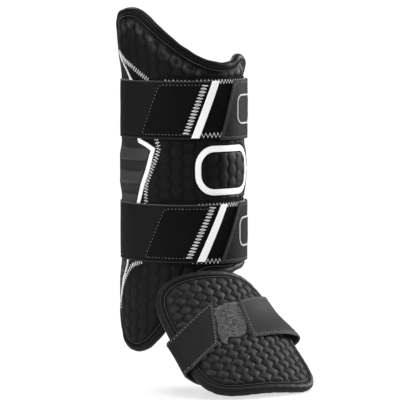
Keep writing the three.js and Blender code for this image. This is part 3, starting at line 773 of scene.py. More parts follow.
@dataclass(frozen=True)
class Finish:
    """One finish: its colours, small relief, gloss and sheen."""

    name: str
    texture: Texture
    dark: tuple[float, float, float, float]
    light: tuple[float, float, float, float]
    pitch: float
    relief: float
    roughness: float
    roughness_spread: float = 0.12
    specular: float = 0.3
    sheen: float = 0.0
    sheen_roughness: float = 0.5
    # Paler tone for rubbed places and for painted highlights.
    wear_and_highlight_tone: tuple[float, float, float, float] | None = None
    # How far the darkening mark goes towards black: painted shade in seams, creases and grooves, and a darker
    # tone on the piping.
    seam_shade: float = 0.0
    patchiness: float = 0.25

    def pattern(self, nodes: Nodes) -> Signal:
        """Build the small relief.

        Args:
            nodes: The material's nodes.

        Returns:
            The relief, from about 0 to 1.
        """
        flat = nodes.add("ShaderNodeUVMap", {"uv_map": "flat"}).outputs[0]
        body = nodes.add("ShaderNodeTexCoord").outputs["Object"]
        parts = nodes.add("ShaderNodeSeparateXYZ", None, {0: flat})
        u, v = Signal(nodes, parts.outputs[0]), Signal(nodes, parts.outputs[1])
        turn = 2.0 * math.pi / self.pitch
        grain = {"Vector": body, "Scale": 1.0 / self.pitch, "Detail": 4.0}
        noise = nodes.signal("ShaderNodeTexNoise", None, grain)
        if self.texture is Texture.RIBS:
            rib = (v * turn).math("SINE") * 0.5 + 0.5
            cross = (u * (turn * 0.8)).math("SINE") * (v * (turn * 0.5)).math("SINE") * 0.5 + 0.5
            return rib * 0.6 + cross * 0.25 + noise * 0.15
        if self.texture is Texture.WEAVE:
            over = (u * turn).math("SINE") * (v * turn).math("SINE") * 0.5 + 0.5
            rib = (v * (2.0 * turn)).math("SINE") * 0.5 + 0.5
            return over * 0.6 + rib * 0.2 + noise * 0.2
        if self.texture is Texture.KNIT:
            wale = (u * turn).math("SINE").math("ABSOLUTE")
            course = ((v * (turn * 1.2)) + (u * turn).math("COSINE") * 1.2).math("SINE") * 0.5 + 0.5
            return wale * 0.4 + course * 0.4 + noise * 0.2
        if self.texture is Texture.SATIN:
            twill = ((u + v) * turn).math("SINE") * 0.5 + 0.5
            return twill * 0.7 + noise * 0.3
        if self.texture is Texture.PLY:
            return noise
        settings = {"feature": "SMOOTH_F1"}
        values = {"Vector": body, "Scale": 1.0 / self.pitch, "Smoothness": 0.6}
        cells = nodes.signal("ShaderNodeTexVoronoi", settings, values)
        if self.texture is Texture.FUZZ:
            loose = {"Vector": body, "Scale": 0.4 / self.pitch, "Detail": 6.0, "Roughness": 0.7}
            tufts = nodes.signal("ShaderNodeTexNoise", None, loose)
            return ((cells * 0.4 + tufts * 0.9 - 0.58) * 3.0 + 0.5).clamped()
        if self.texture is Texture.PEBBLE:
            return (1.0 - cells) * 0.8 + noise * 0.2
        if self.texture is Texture.MOULDED:
            return noise * 0.7 + cells * 0.3
        return cells * 0.5 + noise * 0.5

    def material(self) -> bpy.types.Material:
        """Build the material, or give it again where it was built before.

        Returns:
            The material.
        """
        known = bpy.data.materials.get(self.name)
        if known is not None:
            return known
        made = bpy.data.materials.new(self.name)
        made.use_nodes = True
        made.node_tree.nodes.clear()
        nodes = Nodes(made.node_tree)
        relief = self.pattern(nodes)
        body = nodes.add("ShaderNodeTexCoord").outputs["Object"]
        clouds = {"Vector": body, "Scale": BROAD_SCALE, "Detail": 3.0}
        broad = nodes.signal("ShaderNodeTexNoise", None, clouds)
        # Two marks change the colour. The first makes it paler: rubbing at rims, and painted highlights on
        # quilt crests, panel ribs, binding lips and strap edges. The second darkens it: painted shade in
        # seams, creases and grooves, and a darker tone on the piping away from the straps.
        wear_and_highlight = nodes.signal("ShaderNodeAttribute", {"attribute_name": "wear_and_highlight"}, None, "Fac")
        seam = nodes.signal("ShaderNodeAttribute", {"attribute_name": "seam"}, None, "Fac")
        share = (relief * (1.0 - self.patchiness) + broad * self.patchiness).clamped()
        shade = (1.0 - seam * self.seam_shade).clamped()
        colour = nodes.colour(self.dark, self.light, share)
        pale = self.wear_and_highlight_tone or tuple(c * PALER for c in self.light[:3]) + (1.0,)
        colour = nodes.colour(colour, pale, (wear_and_highlight * (0.7 + relief * 0.6)).clamped())
        black = tuple(c * DARKER for c in self.dark[:3]) + (1.0,)
        colour = nodes.colour(black, colour, shade)
        rough = (self.roughness + (broad - 0.5) * self.roughness_spread - wear_and_highlight * 0.04).clamped()
        bump = nodes.add("ShaderNodeBump", None, {"Strength": 1.0, "Distance": self.relief, "Height": relief})
        values = {
            "Base Color": colour,
            "Roughness": rough,
            "Normal": bump.outputs[0],
            "Specular IOR Level": self.specular,
            "Sheen Weight": self.sheen,
            "Sheen Roughness": self.sheen_roughness,
        }
        shader = nodes.add("ShaderNodeBsdfPrincipled", None, values)
        nodes.add("ShaderNodeOutputMaterial", None, {0: shader.outputs[0]})
        return made


class Finishes:
    """All finishes of the leg guard."""

    # The shell's cloth: its paler tone paints highlights on the flap's cells, and its seams are darkened with
    # painted shade.
    quilt = Finish("quilted_cloth", Texture.GRAIN, grey(0.0009), grey(0.0034), 0.9 * MM, 0.14 * MM, 0.6,
                   specular=0.12, seam_shade=0.85, wear_and_highlight_tone=grey(0.085))
    # The foot pad's cloth is paler than the shell's: partly a mesh cloth of its own, partly painted light for
    # a pad that faces the light.
    foot_quilt = Finish("foot_quilted_cloth_painted_paler", Texture.GRAIN, grey(0.003), grey(0.014), 1.1 * MM, 0.3 * MM,
                        0.7, specular=0.15, seam_shade=0.8, wear_and_highlight_tone=grey(0.027), patchiness=0.4)
    lining = Finish("lining_knit", Texture.KNIT, grey(0.006), grey(0.018), 2.2 * MM, 0.18 * MM, 0.85,
                    specular=0.08, sheen=0.04)
    binding = Finish("binding_cloth", Texture.WEAVE, grey(0.0014), grey(0.0036), 0.9 * MM, 0.05 * MM, 0.5,
                     specular=0.14, wear_and_highlight_tone=grey(0.06))
    # The foot's binding is a paler copy of the shell's binding: painted light for a binding that faces the
    # light.
    foot_binding_painted_paler = Finish("foot_binding_cloth_painted_paler", Texture.WEAVE, grey(0.0035), grey(0.0105), 0.9 * MM, 0.05 * MM,
                       0.55, specular=0.14, wear_and_highlight_tone=grey(0.06))
    elastic = Finish("ribbed_elastic", Texture.RIBS, grey(0.0015), grey(0.0048), 1.5 * MM, 0.12 * MM, 0.65,
                     specular=0.08, wear_and_highlight_tone=grey(0.1), seam_shade=0.8)
    loop = Finish("loop_cloth", Texture.FUZZ, grey(0.002), grey(0.008), 0.8 * MM, 0.5 * MM, 0.95,
                  specular=0.03, sheen=0.01)
    tab = Finish("pebbled_tab", Texture.PEBBLE, grey(0.0025), grey(0.0095), 1.8 * MM, 0.25 * MM, 0.55,
                 specular=0.07, wear_and_highlight_tone=grey(0.04))
    panel = Finish("moulded_panel", Texture.MOULDED, grey(0.0095), grey(0.021), 0.7 * MM, 0.05 * MM, 0.5,
                   specular=0.22, wear_and_highlight_tone=grey(0.04), seam_shade=0.7)
    white = Finish("white_trim", Texture.SATIN, grey(0.48, 0.005), grey(0.61, 0.005), 0.9 * MM, 0.04 * MM,
                   0.5, specular=0.3, wear_and_highlight_tone=grey(0.8), patchiness=0.1, seam_shade=0.85)
    frame_line = Finish("tab_line", Texture.MOULDED, grey(0.3), grey(0.5), 0.6 * MM, 0.03 * MM, 0.5,
                        specular=0.3)
    felt = Finish("loop_felt", Texture.FUZZ, grey(0.018), grey(0.135), 2.2 * MM, 0.8 * MM, 1.0,
                  specular=0.05, sheen=0.05, sheen_roughness=0.7, seam_shade=0.6)
    webbing = Finish("foot_webbing", Texture.WEAVE, grey(0.003), grey(0.0155), 2.6 * MM, 0.2 * MM, 0.6,
                     specular=0.11, wear_and_highlight_tone=grey(0.05), patchiness=0.1)
    white_thread = Finish("white_thread", Texture.PLY, grey(0.68), grey(0.86), 0.5 * MM, 0.05 * MM, 0.6,
                          specular=0.3, patchiness=0.1)
    grey_thread = Finish("grey_thread", Texture.PLY, grey(0.1), grey(0.26), 0.5 * MM, 0.05 * MM, 0.7,
                         specular=0.2)
    black_thread = Finish("black_thread", Texture.PLY, grey(0.004), grey(0.012), 0.5 * MM, 0.05 * MM, 0.6,
                          specular=0.15)
    felt_fibre = Finish("felt_fibre", Texture.FUZZ, grey(0.008), grey(0.235), 1.6 * MM, 0.05 * MM, 0.9,
                        specular=0.1, patchiness=0.1)


def finish_piece(piece: bpy.types.Object, replaced: Sequence[str] = ()) -> bpy.types.Object:
    """Tie a piece to the frame.

    Args:
        piece: The finished piece.
        replaced: CAD nodes that it stands for.

    Returns:
        The same piece.
    """
    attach(piece, BODY)
    if replaced:
        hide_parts(*replaced)
    LOG.info("%s: %d faces", piece.name, len(piece.data.polygons))
    return piece


class Held(Enum):
    """How a sheet of cloth is held."""

    LAID = "laid"
    STRETCHED = "stretched"
    HUNG = "hung"


def declare_sheet(piece: bpy.types.Object, model: Model) -> None:
    """Log the size that a sheet of cloth is cut to, and its area.

    Args:
        piece: The finished sheet.
        model: Its points.
    """
    middle = model.middle()
    diagonals = middle[1:, 1:] - middle[:-1, :-1], middle[1:, :-1] - middle[:-1, 1:]
    area = float(np.linalg.norm(np.cross(*diagonals), axis=-1).sum()) / 2.0
    width, length = sorted((model.flat.max(axis=0) - model.flat.min(axis=0)).tolist())
    area = min(area, width * length)
    LOG.info("%s: cut to %.1f by %.1f mm, %.1f square cm", piece.name, width / MM, length / MM, area * 1e4)


# Stitching

class Stitching:
    """Threads laid on surfaces: straight rows and zigzags, made by one Geometry Nodes tree."""

    def __init__(self) -> None:
        """Build the tree once."""
        self.tree = self.build_tree()

    @staticmethod
    def build_tree() -> bpy.types.NodeTree:
        """Build the tree that lays one bowed thread on every point of a mesh.

        Returns:
            The tree.
        """
        tree = bpy.data.node_groups.new("thread_rows", "GeometryNodeTree")
        for name, kind in [("Geometry", "Geometry"), ("Thread radius", "Float"), ("Bow", "Float"),
                           ("Unevenness", "Float"), ("Thread", "Material")]:
            tree.interface.new_socket(name, in_out="INPUT", socket_type=f"NodeSocket{kind}")
        tree.interface.new_socket("Geometry", in_out="OUTPUT", socket_type="NodeSocketGeometry")
        nodes = Nodes(tree)
        given = nodes.add("NodeGroupInput").outputs
        middle = nodes.add("ShaderNodeCombineXYZ", None, {"Z": given["Bow"]}).outputs[0]
        ends = {"Resolution": 4, "Start": (-0.5, 0.0, 0.0), "Middle": middle, "End": (0.5, 0.0, 0.0)}
        line = nodes.add("GeometryNodeCurveQuadraticBezier", None, ends).outputs[0]
        circle = {"Resolution": 6, "Radius": given["Thread radius"]}
        profile = nodes.add("GeometryNodeCurvePrimitiveCircle", None, circle).outputs[0]
        thread = nodes.add("GeometryNodeCurveToMesh", None,
                           {"Curve": line, "Profile Curve": profile, "Fill Caps": True}).outputs[0]
        read = "GeometryNodeInputNamedAttribute"
        run = nodes.add(read, {"data_type": "FLOAT_VECTOR"}, {"Name": "run"}).outputs[0]
        lift = nodes.add(read, {"data_type": "FLOAT_VECTOR"}, {"Name": "lift"}).outputs[0]
        length = nodes.add(read, {"data_type": "FLOAT"}, {"Name": "length"}).outputs[0]
        girth = nodes.add(read, {"data_type": "FLOAT"}, {"Name": "girth"}).outputs[0]
        axes = {"primary_axis": "Z", "secondary_axis": "X"}
        turned = nodes.add("FunctionNodeAxesToRotation", axes, {0: lift, 1: run}).outputs[0]
        spread = nodes.add("FunctionNodeRandomValue", {"data_type": "FLOAT"}, {"Seed": 7})
        spread.inputs[2].default_value, spread.inputs[3].default_value = -1.0, 1.0
        wobble = Signal(nodes, spread.outputs[1]) * Signal(nodes, given["Unevenness"]) + 1.0
        thick = Signal(nodes, girth) * wobble
        scale = nodes.add("ShaderNodeCombineXYZ", None,
                          {0: Signal(nodes, length) * wobble, 1: thick, 2: thick}).outputs[0]
        values = {"Points": given["Geometry"], "Instance": thread, "Rotation": turned, "Scale": scale}
        laid = nodes.add("GeometryNodeInstanceOnPoints", None, values)
        real = nodes.add("GeometryNodeRealizeInstances", None, {0: laid.outputs[0]})
        soft = nodes.add("GeometryNodeSetShadeSmooth", None, {"Geometry": real.outputs[0]})
        dressed = nodes.add("GeometryNodeSetMaterial", None,
                            {"Geometry": soft.outputs[0], "Material": given["Thread"]})
        nodes.add("NodeGroupOutput", None, {0: dressed.outputs[0]})
        return tree

    def make(self, name: str, slot: str, rows: Sequence[tuple[Array, Array, Array]], finish: Finish,
             radius: float, bow: float, thin_return: float = 1.0) -> None:
        """Lay threads.

        Args:
            name: Name of the piece.
            slot: The record's material slot; not used.
            rows: For each row of stitches, their starts, their ends and the outward directions.
            finish: The thread's finish.
            radius: The thread's radius.
            bow: How far the middle of a stitch stands out.
            thin_return: Thickness of every second stitch, as a share of the others.
        """
        starts, ends, lifts = (np.concatenate([row[i] for row in rows]) for i in range(3))
        girth = np.where(np.arange(len(starts)) % 2 == 0, 1.0, thin_return)
        mesh = bpy.data.meshes.new(f"{name}_places")
        mesh.from_pydata(((starts + ends) / 2.0).tolist(), [], [])
        span = ends - starts
        length = np.linalg.norm(span, axis=-1)
        for attribute, values in (("run", unit(span)), ("lift", lifts)):
            made = mesh.attributes.new(attribute, "FLOAT_VECTOR", "POINT")
            made.data.foreach_set("vector", values.astype(np.float32).ravel())
        for attribute, values in (("length", length), ("girth", girth)):
            made = mesh.attributes.new(attribute, "FLOAT", "POINT")
            made.data.foreach_set("value", values.astype(np.float32))
        values = {"Thread radius": radius, "Bow": bow, "Unevenness": 0.06, "Thread": finish.material()}
        finish_piece(plain_mesh(linked(f"{name}_places", mesh), self.tree, values, name))


class Fuzz:
    """Short curled fibres strewn over a surface by a Geometry Nodes tree."""

    def __init__(self) -> None:
        """Build the tree once."""
        self.tree = self.build_tree()

    @staticmethod
    def build_tree() -> bpy.types.NodeTree:
        """Build the tree that strews fibres over the faces of a mesh.

        Returns:
            The tree.
        """
        tree = bpy.data.node_groups.new("strewn_fibres", "GeometryNodeTree")
        for name, kind in [("Geometry", "Geometry"), ("Density", "Float"), ("Fibre length", "Float"),
                           ("Seed", "Int"), ("Fibre", "Material")]:
            tree.interface.new_socket(name, in_out="INPUT", socket_type=f"NodeSocket{kind}")
        tree.interface.new_socket("Geometry", in_out="OUTPUT", socket_type="NodeSocketGeometry")
        nodes = Nodes(tree)
        given = nodes.add("NodeGroupInput").outputs
        strewn = nodes.add("GeometryNodeDistributePointsOnFaces", {"distribute_method": "RANDOM"},
                           {"Mesh": given["Geometry"], "Density": given["Density"], "Seed": given["Seed"]})
        curl = {"Resolution": 3, "Start": (-0.5, 0.0, 0.0), "Middle": (0.05, 0.3, 0.24),
                "End": (0.5, -0.08, 0.03)}
        line = nodes.add("GeometryNodeCurveQuadraticBezier", None, curl).outputs[0]
        circle = {"Resolution": 3, "Radius": 0.055}
        profile = nodes.add("GeometryNodeCurvePrimitiveCircle", None, circle).outputs[0]
        fibre = nodes.add("GeometryNodeCurveToMesh", None,
                          {"Curve": line, "Profile Curve": profile, "Fill Caps": True}).outputs[0]
        turn = nodes.add("FunctionNodeRandomValue", {"data_type": "FLOAT_VECTOR"}, {"Seed": given["Seed"]})
        turn.inputs[0].default_value = (-0.2, -0.2, 0.0)
        turn.inputs[1].default_value = (0.2, 0.2, 2.0 * math.pi)
        turned = nodes.add("FunctionNodeRotateRotation", {"rotation_space": "LOCAL"},
                           {0: strewn.outputs["Rotation"], 1: turn.outputs[0]}).outputs[0]
        spread = nodes.add("FunctionNodeRandomValue", {"data_type": "FLOAT"}, {"Seed": given["Seed"]})
        spread.inputs[2].default_value, spread.inputs[3].default_value = 0.6, 1.35
        size = Signal(nodes, spread.outputs[1]) * Signal(nodes, given["Fibre length"])
        scale = nodes.add("ShaderNodeCombineXYZ", None, {0: size, 1: size, 2: size}).outputs[0]
        values = {"Points": strewn.outputs["Points"], "Instance": fibre, "Rotation": turned, "Scale": scale}
        laid = nodes.add("GeometryNodeInstanceOnPoints", None, values)
        real = nodes.add("GeometryNodeRealizeInstances", None, {0: laid.outputs[0]})
        dressed = nodes.add("GeometryNodeSetMaterial", None,
                            {"Geometry": real.outputs[0], "Material": given["Fibre"]})
        nodes.add("NodeGroupOutput", None, {0: dressed.outputs[0]})
        return tree

    def make(self, name: str, slot: str, points: Array, faces: Sequence[Sequence[int]], finish: Finish,
             density: float, length: float) -> None:
        """Strew fibres.

        Args:
            name: Name of the piece.
            slot: The record's material slot; not used.
            points: Points of the surface.
            faces: Its faces, which look outwards.
            finish: The fibres' finish.
            density: Fibres for each square metre.
            length: Their usual length.
        """
        mesh = bpy.data.meshes.new(f"{name}_bed")
        mesh.from_pydata(points.tolist(), [], faces)
        values = {"Density": density, "Fibre length": length, "Seed": 11, "Fibre": finish.material()}
        finish_piece(plain_mesh(linked(f"{name}_bed", mesh), self.tree, values, name))


def plain_mesh(source: bpy.types.Object, tree: bpy.types.NodeTree, values: dict,
               name: str) -> bpy.types.Object:
    """Run a Geometry Nodes tree on an object and keep the result as a plain mesh.

    Args:
        source: The object that it starts from, which is removed.
        tree: The tree.
        values: Its inputs by name.
        name: Name of the new piece.

    Returns:
        The new object.
    """
    modifier = source.modifiers.new("rows", "NODES")
    modifier.node_group = tree
    for item in tree.interface.items_tree:
        if item.item_type == "SOCKET" and item.in_out == "INPUT" and item.name in values:
            modifier[item.identifier] = values[item.name]
    source.update_tag()
    bpy.context.view_layer.update()
    depsgraph = bpy.context.evaluated_depsgraph_get()
    mesh = bpy.data.meshes.new_from_object(source.evaluated_get(depsgraph), depsgraph=depsgraph)
    mesh.name = name
    source.modifiers.remove(modifier)
    bpy.data.objects.remove(source)
    return linked(name, mesh)


def walk(path: Array, spacing: float) -> tuple[Array, Array]:
    """Step along a path.

    Args:
        path: Points in the flat.
        spacing: Wanted distance between steps.

    Returns:
        Evenly spaced points and the way to the left at each.
    """
    run = np.linalg.norm(np.diff(path, axis=0, prepend=path[:1]), axis=-1).cumsum()
    count = max(2, round(float(run[-1]) / spacing))
    at = np.linspace(0.0, run[-1], count + 1)
    points = np.stack([np.interp(at, run, path[:, i]) for i in range(2)], -1)
    way = unit(np.gradient(points, axis=0))
    return points, np.stack([-way[:, 1], way[:, 0]], -1)


def dotted(surface: Surface, path: Array, out: float, pitch: float,
           share: float = 0.62) -> tuple[Array, Array, Array]:
    """Place a straight row of stitches along a path.

    Args:
        surface: What they lie on.
        path: The row in the flat.
        out: Distance outwards.
        pitch: Distance from stitch to stitch.
        share: Part of the pitch that a stitch covers.

    Returns:
        Starts, ends and outward directions.
    """
    points, _ = walk(np.asarray(path, float), pitch)
    middle, half = (points[1:] + points[:-1]) / 2.0, (points[1:] - points[:-1]) * share / 2.0
    first, last = middle - half, middle + half
    flat = np.full(len(middle), out)
    return (surface.place(first[:, 0], first[:, 1], flat), surface.place(last[:, 0], last[:, 1], flat),
            surface.outwards(middle[:, 0], middle[:, 1]))


def zigzag(surface: Surface, path: Array, out: float, pitch: float, reach: float,
           level: bool = False, lag: float = 0.5) -> tuple[Array, Array, Array]:
    """Place a zigzag of stitches along a path.

    Args:
        surface: What they lie on.
        path: Its middle line in the flat.
        out: Distance outwards.
        pitch: Length of one whole zigzag.
        reach: Half of its width.
        level: Whether its strokes run level, not square to the path.
        lag: How far each second corner is ahead of the one before it, as a share of the pitch.

    Returns:
        Starts, ends and outward directions.
    """
    points, left = walk(np.asarray(path, float), pitch / 2.0)
    odd = np.arange(len(points)) % 2 == 1
    way = unit(np.gradient(points, axis=0))
    sides = np.broadcast_to(np.array([1.0, 0.0]), left.shape) if level else left
    corners = points + sides * np.where(odd, -reach, reach)[:, None]
    corners = corners - way * np.where(odd, (0.5 - lag) * pitch, 0.0)[:, None]
    first, last = corners[:-1], corners[1:]
    middle = (first + last) / 2.0
    flat = np.full(len(middle), out)
    return (surface.place(first[:, 0], first[:, 1], flat), surface.place(last[:, 0], last[:, 1], flat),
            surface.outwards(middle[:, 0], middle[:, 1]))


# Quilting

@dataclass(frozen=True)
class Quilting:
    """Quilted cells in upright columns, staggered, between wavy seams."""

    spacing: float
    period: float
    wave: float
    depth: float
    crease: float
    fullness: float = 2.4
    offset: float = 0.0
    floor: float = -1.6 * MM
    seam_width: float = 0.75 * MM
    crease_width: float = 0.9 * MM

    def cells(self, x: Array, y: Array) -> tuple[Array, Array]:
        """Read the relief.

        Args:
            x: First length along the surface.
            y: Second length along the surface.

        Returns:
            Height from 0 in the seams to 1 on the crests, and how near a seam each place is.
        """
        turn = 2.0 * math.pi / self.period
        y = y + 0.0008 * ripple(x, y, 0.03)
        x = x + 0.0006 * ripple(y, x, 0.045) + self.offset

        def seam(column: Array) -> Array:
            """Give the first length of a column's far seam."""
            sign = np.where(np.mod(column, 2.0) < 1.0, 1.0, -1.0)
            return (column + 0.5) * self.spacing + sign * self.wave * np.cos(turn * y)

        column = np.round(x / self.spacing)
        column = np.where(x > seam(column), column + 1.0, column)
        column = np.where(x < seam(column - 1.0), column - 1.0, column)
        left, right = seam(column - 1.0), seam(column)
        across = np.abs((2.0 * x - left - right) / (right - left))
        phase = y / self.period - np.mod(column, 2.0) * 0.5
        along = np.abs(2.0 * (phase - np.round(phase)))
        dome = (1.0 - across**self.fullness) * (1.0 - self.crease * along**3.0)
        edge = (1.0 - across) * (right - left) / 2.0
        mark = hump(edge, 0.0, self.seam_width)
        end = (1.0 - along) * self.period / 2.0
        mark = np.maximum(mark, self.crease * hump(end, 0.0, self.crease_width))
        return clamp01(dome) ** 0.8, clamp01(mark)


# Bindings and raised lines

@dataclass(frozen=True)
class RolledBinding:
    """A rolled binding round a quilted edge, with a groove, a sewn lip and a row of stitches."""

    finish: Finish
    unevenness: float
    wall: float = 0.009
    width: float = 0.0105
    roll: float = 0.0088
    proud: float = 0.0006
    stitch_inset: float = 0.0026
    stitch_pitch: float = 0.0032

    def section(self) -> Array:
        """Draw the section.

        Returns:
            Points with a distance from the outer edge and a distance outwards.
        """
        middle, half = -self.wall / 2.0, self.wall / 2.0 + self.proud
        angles = np.radians(np.linspace(180.0, 18.0, 17))
        across = self.roll / 2.0 * (1.0 + power(np.cos(angles), 0.9))
        out = middle + half * power(np.sin(angles), 0.78)
        front = np.stack([across, out], -1)
        lip = np.array([
            (self.roll + 0.02 * MM, -1.5 * MM), (self.roll + 0.45 * MM, -0.6 * MM),
            (self.roll + 0.8 * MM, -0.4 * MM), (self.roll + 1.15 * MM, -0.6 * MM),
            (self.width, -1.9 * MM), (self.width, -self.wall + 1.0 * MM),
        ])
        angles = np.radians(np.linspace(-8.0, -172.0, 15))
        across = self.width / 2.0 * (1.0 + power(np.cos(angles), 0.85))
        out = middle + half * power(np.sin(angles), 0.75)
        return np.concatenate([front, lip, np.stack([across, out], -1)])[::-1]

    def roll_round(self, name: str, surface: Surface, loop: Array, node: str) -> None:
        """Roll the binding round an edge, a little unevenly.

        Args:
            name: Name of the piece.
            surface: What the edge lies on.
            loop: The edge in the flat.
            node: The CAD node that it stands for.
        """
        section = self.section()
        # A painted highlight along the crest of the lip, as a paler line.
        lip = hump(section[:, 0] - self.roll, 0.9 * MM, 0.5 * MM)
        model = sweep(surface, loop, True, section, lip * (section[:, 1] > -1.6 * MM))
        points = model.points.reshape(len(loop), -1, 3)
        middle = points.mean(axis=1, keepdims=True)
        run = np.linalg.norm(np.diff(loop, axis=0, prepend=loop[:1]), axis=-1).cumsum()[:, None]
        turns = 2.0 * math.pi * run / float(run[-1, 0])
        place = np.linspace(0.0, 2.0 * math.pi, points.shape[1])[None, :]
        wave = 0.6 * np.sin(37.0 * turns + 2.0 * place) + 0.4 * np.sin(61.0 * turns - place + 1.0)
        push = (wave * self.unevenness)[..., None]
        model.points = (points + unit(points - middle) * push).reshape(-1, 3)
        model.to_piece(name, "binding", [self.finish], node, fill=0.9)

    def sew(self, name: str, surface: Surface, loop: Array, stitching: Stitching) -> None:
        """Sew the row of stitches beside the lip.

        Args:
            name: Name of the piece.
            surface: What the edge lies on.
            loop: The edge in the flat.
            stitching: What lays the threads.
        """
        row = beside(loop, True, self.width - self.stitch_inset)
        rows = [dotted(surface, np.vstack([row, row[:1]]), out=0.05 * MM, pitch=self.stitch_pitch)]
        stitching.make(name, "binding", rows, Finishes.black_thread, radius=0.22 * MM, bow=0.5 * MM)


def line_section(width: float, low: float, high: float, rim: float) -> Array:
    """Draw the section of a flat raised line with rounded upper edges.

    Args:
        width: Its width.
        low: Distance outwards of its underside.
        high: Distance outwards of its face.
        rim: Width of the rounded edges.

    Returns:
        Points with a distance to the left and a distance outwards.
    """
    half = width / 2.0
    angles = np.radians(np.linspace(0.0, 90.0, 5))
    rise = min(rim, high - low)
    right = np.stack([half - rim * (1.0 - np.cos(angles)), high - rise * (1.0 - np.sin(angles))], -1)
    left = right[::-1] * np.array([-1.0, 1.0])
    crown = np.array([(0.0, high + 0.1 * rim)])
    return np.concatenate([[(-half, low), (half, low)], right[1:], crown, left[:-1]])


# Shin shell

@dataclass
class ShinShell:
    """The quilted shell with its binding, side panel, piping, badge line and patches."""

    oval: LegOval
    stitching: Stitching
    inner_turn: float = -74.0
    outer_turn: float = 142.0
    rear_corner: float = 0.022
    grid_step: float = 0.0015
    binding: RolledBinding = RolledBinding(Finishes.binding, unevenness=0.25 * MM)
    quilting: Quilting = Quilting(
        spacing=0.0143, period=0.0145, wave=0.0015, depth=0.0021, crease=0.35, fullness=3.2, offset=0.0055,
    )
    lay_low: float = -0.0013
    lay_top: float = 0.0002
    piping_width: float = 0.005
    badge_size: tuple[float, float] = (0.083, 0.049)
    badge_corner: float = 0.020
    badge_line: float = 0.007
    badge_level: float = 0.015
    panel_rib_pitch: float = 0.026
    edge_ease: tuple[float, float] = (0.003, 0.0085)
    lit_level: float = 0.118
    panel_rim: float = 0.8 * MM
    patch_turns: tuple[float, float] = (-62.0, 66.0)
    patch_drops: tuple[float, float] = (0.0, 0.0024)

    # Turn from the front in degrees, and height as a share of the shell's height.
    top_edge: SmoothTable = SmoothTable((
        (-74, 0.795), (-60, 0.817), (-43, 0.842), (-33, 0.857), (-25, 0.865), (-19, 0.8655), (-15, 0.861),
        (-11, 0.8525), (-7, 0.846), (0, 0.8425), (8, 0.842), (17, 0.846), (25, 0.853), (33, 0.864),
        (40, 0.8775), (47, 0.893), (54.5, 0.9125), (62, 0.9325), (69.5, 0.954), (77.5, 0.9745),
        (86.5, 0.992), (97, 1.0), (111, 0.9965), (122, 0.987), (130, 0.973), (136, 0.954), (142, 0.93),
    ))
    bottom_edge: SmoothTable = SmoothTable((
        (-74, 0.256), (-60, 0.2485), (-43, 0.2435), (-15, 0.236), (-5, 0.23), (16, 0.2297), (25, 0.2265),
        (31, 0.2155), (38, 0.19), (44, 0.159), (50, 0.1265), (56, 0.097), (62, 0.0725), (68, 0.05),
        (74, 0.031), (80, 0.016), (87, 0.0054), (95, 0.0), (104, 0.0026), (114, 0.016), (120, 0.0318),
        (124, 0.0478), (130, 0.0665), (136, 0.085), (142, 0.1),
    ))
    piping_line: tuple[tuple[float, float], ...] = (
        (131, 0.872), (122, 0.8497), (113, 0.8204), (103.3, 0.783), (91.6, 0.6145), (83, 0.604),
        (75.6, 0.5915), (78, 0.56), (81.5, 0.525), (91.6, 0.4505), (103.3, 0.337), (113, 0.245),
        (122, 0.179), (130, 0.134),
    )
    zigzag_line: tuple[tuple[float, float], ...] = (
        (129, 0.872), (123.5, 0.8612), (114.9, 0.8464), (103.9, 0.8319), (93.2, 0.812), (85.5, 0.7972),
        (80, 0.7885), (72.6, 0.6166), (70, 0.5962), (71.8, 0.5679), (75.4, 0.5416), (79.1, 0.5153),
        (82.4, 0.489), (84.1, 0.463), (84.3, 0.4375), (88.9, 0.2656), (97.4, 0.2571), (104.4, 0.2482),
        (111.3, 0.2253), (117.1, 0.2023), (122.9, 0.1714), (127.6, 0.1459), (131, 0.1153),
    )

    # Patch zigzags: turn in degrees, and millimetres inside the strap's upper or lower edge.
    upper_rows: tuple[tuple[tuple[float, float], ...], ...] = (
        ((65.0, 1.0), (53.0, 1.0), (50.0, 1.8), (36.0, 1.8), (33.0, 1.0), (-60.0, 1.0)),
        ((34.0, 1.6), (24.0, 1.6), (20.0, 1.0), (-60.0, 1.0)),
    )
    lower_rows: tuple[tuple[tuple[float, float], ...], ...] = (
        ((36.0, 4.4), (-8.0, 4.4)), ((38.0, 1.6), (-8.0, 1.6)),
    )

    def laid_out(self, line: Sequence[tuple[float, float]], step: float) -> Array:
        """Give a line of turns and height shares as a fine path of arcs and heights."""
        turns, shares = np.array(line, float).T
        return finer(np.stack([turns * self.oval.per_degree, self.oval.level(shares)], -1), False, step)

    def edge_loop(self) -> Array:
        """Draw the shell's edge.

        Returns:
            Points in the flat, anticlockwise.
        """
        start, finish = self.inner_turn * self.oval.per_degree, self.outer_turn * self.oval.per_degree
        corner = self.rear_corner * (1.0 - np.cos(np.radians(np.linspace(0.0, 90.0, 24))))
        count = math.ceil((finish - start - 2.0 * self.rear_corner) / self.grid_step)
        plain = np.linspace(start + self.rear_corner, finish - self.rear_corner, count + 1)
        arcs = np.concatenate([start + corner, plain[1:-1], (finish - corner)[::-1]])

        def edge(table: SmoothTable, side: float) -> Array:
            """Read the top or the bottom edge, with its corners rounded.

            Args:
                table: The edge's table.
                side: 1 for the top edge, -1 for the bottom edge.

            Returns:
                A height for each arc.
            """
            inset = np.maximum(0.0, self.rear_corner - np.minimum(arcs - start, finish - arcs))
            fall = self.rear_corner - np.sqrt(np.maximum(0.0, self.rear_corner**2 - inset**2))
            return self.oval.level(table.read(arcs / self.oval.per_degree)) - side * fall

        low, high = edge(self.bottom_edge, -1.0), edge(self.top_edge, 1.0)
        bottom, top = np.stack([arcs, low], -1), np.stack([arcs, high], -1)[::-1]
        return finer(np.concatenate([bottom, top]), True, 2.0 * self.grid_step)

